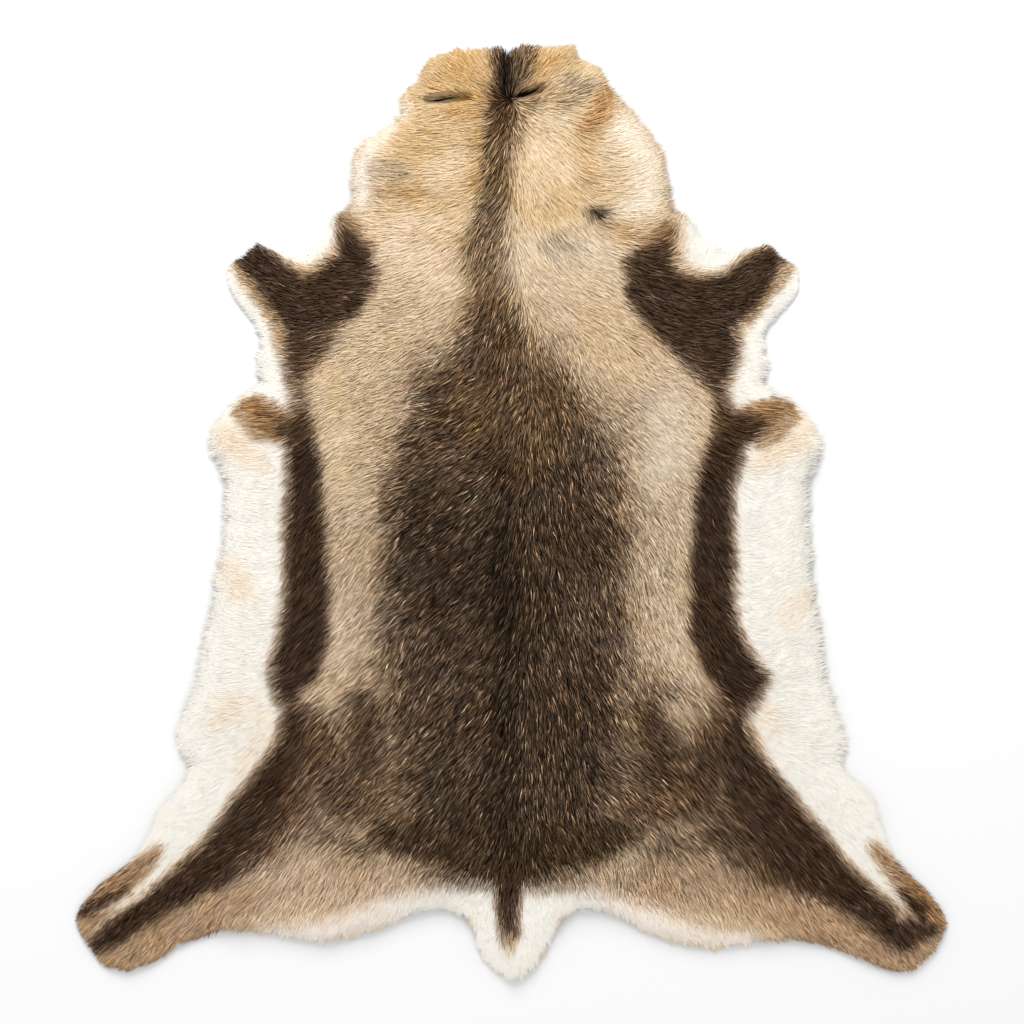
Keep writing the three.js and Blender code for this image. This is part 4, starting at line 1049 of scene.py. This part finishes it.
def plantHair():
    # Roots on a jittered square grid. A hair goes from its root along the lie of the coat to its middle
    # and on along the lie there to its tip, which is drawn towards its strand's tip and cut back where
    # it passes the edge too far.
    rng = np.random.default_rng(hairSeeds["hair"])
    low, high = np.array(cadBox[0])[:2], np.array(cadBox[1])[:2]
    x, y = np.meshgrid(*(np.arange(low[k], high[k], hair["spacing"]) for k in (0, 1)))
    pairing = (np.add.outer(np.arange(len(x)), np.arange(len(x[0]))) % 2 * 2 - 1).ravel()
    x, y = (v.ravel() + rng.uniform(-0.5, 0.5, v.size) * hair["spacing"] for v in (x, y))
    keep = readMap(maps, "gap", x, y) > hair["rootInset"]
    keep &= readMap(maps, "slit", x, y) > hair["slitInset"]
    x, y, pairing = x[keep], y[keep], pairing[keep]
    count = len(x)
    _, _, lock = nearestLock(x, y, hair["lockSize"], hairSeeds["lock"])
    tuftX, tuftY, tuft = nearestLock(x, y, hair["tuftSize"], hairSeeds["tuft"])
    strandX, strandY, strand = nearestLock(x, y, hair["strandSize"], hairSeeds["strand"])
    turn = np.radians(hair["lockTurn"] * lock[0] + hair["strandTurn"] * strand[0])
    pale = rng.random(count) < readMap(maps, "colour", x, y)[:, 3]
    ownTurn = np.radians(np.where(pale, hair["paleTurn"], hair["ownTurn"])) * rng.normal(size=count)
    longer = (1 + hair["lockLength"] * lock[1]) * (1 + hair["strandLength"] * strand[1])
    length = readMap(maps, "hair", x, y) * longer * rng.uniform(*hair["lengths"], count)
    dirX, dirY = lieAt(x, y, turn + ownTurn)
    bend = hair["bend"]
    midX, midY = x + bend * length * dirX, y + bend * length * dirY
    dirX, dirY = lieAt(midX, midY, turn + ownTurn * rng.normal(size=count))
    tipX, tipY = midX + (1 - bend) * length * dirX, midY + (1 - bend) * length * dirY
    strandLength = readMap(maps, "hair", strandX, strandY) * longer
    pull = hair["strandPull"] * rng.uniform(hair["leastPull"], 1, count)
    tipX, tipY = drawnTo(tipX, tipY, pull, strandX, strandY, turn, strandLength)
    tuftLength = readMap(maps, "hair", tuftX, tuftY) * (1 + hair["tuftLength"] * tuft[1])
    nearEdge = np.exp(-readMap(maps, "gap", x, y) / hair["tuftDepth"])
    longness = np.clip(readMap(maps, "hair", x, y) / hair["overhangLength"], 0, 1)
    pull = hair["tuftPull"] * longness * nearEdge * rng.uniform(hair["leastPull"], 1, count)
    tuftTurn = np.radians(hair["strandTurn"]) * tuft[0]
    tipX, tipY = drawnTo(tipX, tipY, pull, tuftX, tuftY, tuftTurn, tuftLength)
    byTuft, byStrand, byChance = hair["overhangParts"]
    allowed = byTuft * tuft[2] + byStrand * strand[2] + rng.uniform(-byChance, byChance, count)
    allowed *= hair["overhang"] * longness ** hair["overhangFall"]
    shrink = np.ones(count)
    for _ in range(hair["cutSteps"]):
        over = -readMap(maps, "gap", x + (tipX - x) * shrink, y + (tipY - y) * shrink) - allowed
        shrink = np.clip(shrink - np.maximum(over, 0) / length, hair["cutMost"], 1)
    midX, midY = x + (midX - x) * shrink, y + (midY - y) * shrink
    tipX, tipY = x + (tipX - x) * shrink, y + (tipY - y) * shrink
    keep = shrink > hair["shortest"]
    for share in (0.15, 0.3, 0.45, 0.6, 0.75, 0.9, 1):  # no hair crosses a slit
        keep &= readMap(maps, "slit", x + (tipX - x) * share, y + (tipY - y) * share) > -hair["slitCover"]
    spotX = x + hair["shownAt"] * (tipX - x) + hair["spotBlur"] * (strand[2] + rng.normal(size=count))
    spotY = y + hair["shownAt"] * (tipY - y) + hair["spotBlur"] * (strand[3] + rng.normal(size=count))
    colour = readMap(maps, "colour", spotX, spotY)
    paleness = colour[:, :3].mean(1)
    shade = hair["pairShade"] * pairing + hair["ownShade"] * rng.normal(size=count)
    shade += hair["lockShade"] * lock[1]
    middle, byShade, byChance = hair["riseParts"]
    rise = np.clip(middle + byShade * shade + rng.uniform(-byChance, byChance, count), 0, 1)
    rise = np.where(pale, rng.uniform(hair["paleRise"], 1, count), rise)
    sleek = paleness ** 2
    level = rise * (1 - hair["sleekness"] * sleek)
    lift = hair["lockLift"] * lock[3] + hair["strandLift"] * strand[3]
    lift = 1 + lift * (1 - hair["sleekLift"] * sleek)
    low, ifSleek, ifRisen = hair["rootLevels"]
    rootZ = readMap(maps, "depth", x, y) * (low + ifSleek * sleek + ifRisen * level)
    low, ifRisen = hair["middleLevels"]
    midZ = readMap(maps, "depth", midX, midY) * (low + ifRisen * level) * lift
    low, ifRisen = hair["tipLevels"]
    tipZ = readMap(maps, "depth", tipX, tipY) * (low + ifRisen * level) * lift
    rootZ, midZ, tipZ = (np.maximum(z, hair["lowest"]) for z in (rootZ, midZ, tipZ))
    roll = np.radians(hair["roll"]) * rng.normal(size=count) * (1 - paleness)
    chance = rng.random(count)
    width = hair["width"] * rng.uniform(*hair["widths"], count) * np.where(pale, hair["paleWidth"], 1)
    width *= 1 + (hair["whiteWidth"] - 1) * paleness ** 4
    strands = {
        "root": np.stack([x, y, rootZ], 1), "mid": np.stack([midX, midY, midZ], 1),
        "tip": np.stack([tipX, tipY, tipZ], 1), "colour": colour, "shade": shade, "pale": pale,
        "rise": rise, "roll": roll, "chance": chance, "width": width,
    }
    return {key: values[keep] for key, values in strands.items()}


def ownColour(shown):
    # The colour of the hairs themselves, in linear light, that makes the coat look as the map says: its
    # light less the veil, times the gain and the (power - 1)th power of its own brightness, which is
    # three parts red, six green and one blue.
    light = np.maximum(toLinear(shown) - hair["veil"], 0.001)
    bright = light @ np.array([0.3, 0.6, 0.1])
    own = light * hair["gain"] * bright[:, None] ** (hair["power"] - 1)
    return own * np.minimum(1, hair["whitest"] / own.max(1, keepdims=True))


def hairColours(strands):
    # Colours of root, right, left and tip. Each is its place's colour times exp(spread shade - evening
    # spread^2). The spread shrinks as the hair gets paler. The lighter hairs turn greyer and the darker
    # ones warmer, and the guard hairs run out to pale tan.
    colour = strands["colour"][:, :3]
    bright = colour.mean(1)
    grizzle = hair["smooth"] + (1 - hair["smooth"]) * strands["colour"][:, 3] / hair["mostPale"]
    spread = hair["contrast"] * (1 - bright) ** hair["contrastFall"] * grizzle
    base = colour * np.exp(spread * strands["shade"] - hair["evening"] * spread ** 2)[:, None]
    greyed = (hair["greying"] * np.clip(strands["shade"], 0, 1) * np.sqrt(1 - bright))[:, None]
    base += greyed * (base.mean(1, keepdims=True) * np.array(hair["greyTint"]) - base)
    warmed = (hair["warming"] * np.clip(-strands["shade"], 0, 1))[:, None]
    base += warmed * (base - base.mean(1, keepdims=True))
    # Painted shade: the root, deep in the coat, is darker, the more so in dark hair.
    paintedRootShade = hair["shadedRootDark"] + (hair["shadedRootLight"] - hair["shadedRootDark"]) * bright ** hair["shadedRootPower"]
    toTip = hair["paleMix"] * strands["pale"][:, None] * (writtenColour(palette["guardTip"][0]) - base)
    mids, tips = base + hair["paleMiddle"] * toTip, base + toTip
    return ownColour(np.stack([base * paintedRootShade[:, None], mids, mids, tips], 1).reshape(-1, 3))


def makeHairLayer(name, strands):
    # Four points to a hair: root, right, left and tip, right and left half a width to either side of
    # the middle. Two triangles: root, right, left and right, tip, left. Each hair has a square of the
    # uv map of its own, with its four points near the corners.
    count = len(strands["shade"])
    along = strands["tip"] - strands["root"]
    along /= np.linalg.norm(along, axis=1, keepdims=True) + tiny
    level = np.stack([along[:, 1], -along[:, 0], np.zeros(count)], 1)
    level /= np.linalg.norm(level, axis=1, keepdims=True) + tiny
    upright = np.cross(level, along)
    side = level * np.cos(strands["roll"])[:, None] + upright * np.sin(strands["roll"])[:, None]
    side *= strands["width"][:, None] / 2
    points = np.stack([strands["root"], strands["mid"] + side, strands["mid"] - side, strands["tip"]], 1)
    first = np.arange(count)[:, None] * 4
    faces = np.stack([first + [0, 1, 2], first + [1, 3, 2]], 1).reshape(-1, 3)
    across = int(math.ceil(math.sqrt(count)))
    low, high = 0.1, 0.9
    corners = np.array([[low, low], [high, low], [low, high], [high, high]])
    cells = np.stack([np.arange(count) % across, np.arange(count) // across], 1)
    uv = ((cells[:, None] + corners) / across).reshape(-1, 2)[faces.ravel()]
    flat = strands["colour"][:, :3].mean(1, keepdims=True)
    flat = hair["flatDark"] + (hair["flatWhite"] - hair["flatDark"]) * flat
    facing = np.cross(along, side)
    facing *= np.where(facing[:, 2:] < 0, -1, 1)
    facing /= np.linalg.norm(facing, axis=1, keepdims=True) + tiny
    facing = facing * (1 - flat) + flat * np.array([0, 0, 1])
    floats = {"along": np.tile([0, 0.45, 0.45, 1], count), "chance": np.repeat(strands["chance"], 4)}
    obj = addMesh(name, points.reshape(-1, 3), faces, 3, hairMaterial, uv=uv, floats=floats,
                  colours={"coatWithPaintedShade": hairColours(strands)}, normals=np.repeat(facing, 4, axis=0))
    return obj


def makeHair():
    # All the hairs, sorted by how high they lie into layers of equal number.
    strands = plantHair()
    order = np.argsort(strands["rise"])
    layers = []
    for number, chosen in enumerate(np.array_split(order, hair["layers"])):
        chosen = np.sort(chosen)
        own = {key: values[chosen] for key, values in strands.items()}
        layers.append(makeHairLayer(f"hairLayer{number + 1}", own))
        print(layers[-1].name, "made:", len(chosen), "hairs")
    return layers


hairLayers = makeHair()
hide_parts("hide")

# Floor, light and camera.

studio = {
    "floorSize": 12,
    "floorDrop": 0.3 * mm,  # it lies this far below the flesh side
    "floorTone": 0.9,
    "skyLight": 0.8,
    "keyPlace": (-0.5, 3.1, 2),
    "keySize": 1.6,
    "keyPower": 108,
    "cameraHeight": 3.6,
    "frameWidth": 1.28,   # how much of the floor the frame takes in
    "sensor": 36,
}


def makeStudio():
    half = studio["floorSize"] / 2
    mesh = bpy.data.meshes.new("floor")
    corners = [(x * half, y * half, -studio["floorDrop"]) for x, y in ((-1, -1), (1, -1), (1, 1), (-1, 1))]
    mesh.from_pydata(corners, [], [(0, 1, 2, 3)])
    floor = bpy.data.objects.new("floor", mesh)
    bpy.context.collection.objects.link(floor)
    material, _, shader = newMaterial("floorPaper")
    shader.inputs["Base Color"].default_value = (*[studio["floorTone"]] * 3, 1)
    shader.inputs["Roughness"].default_value = 1
    shader.inputs["Specular IOR Level"].default_value = 0
    mesh.materials.append(material)
    world = bpy.data.worlds.new("studio")
    world.use_nodes = True
    world.node_tree.nodes["Background"].inputs["Color"].default_value = (1, 1, 1, 1)
    world.node_tree.nodes["Background"].inputs["Strength"].default_value = studio["skyLight"]
    bpy.context.scene.world = world
    lamp = bpy.data.lights.new("key", "AREA")
    lamp.size, lamp.energy = studio["keySize"], studio["keyPower"]
    key = bpy.data.objects.new("key", lamp)
    bpy.context.collection.objects.link(key)
    key.location = studio["keyPlace"]
    key.rotation_euler = key.location.to_track_quat("Z", "Y").to_euler()  # it faces the hide's middle
    lens = bpy.data.cameras.new("camera")
    lens.sensor_width = studio["sensor"]
    lens.lens = studio["sensor"] * studio["cameraHeight"] / studio["frameWidth"]
    camera = bpy.data.objects.new("camera", lens)
    bpy.context.collection.objects.link(camera)
    camera.location = (0, 0, studio["cameraHeight"])
    bpy.context.scene.camera = camera
    bpy.context.scene.view_settings.view_transform = "Standard"


makeStudio()
print("studio made")
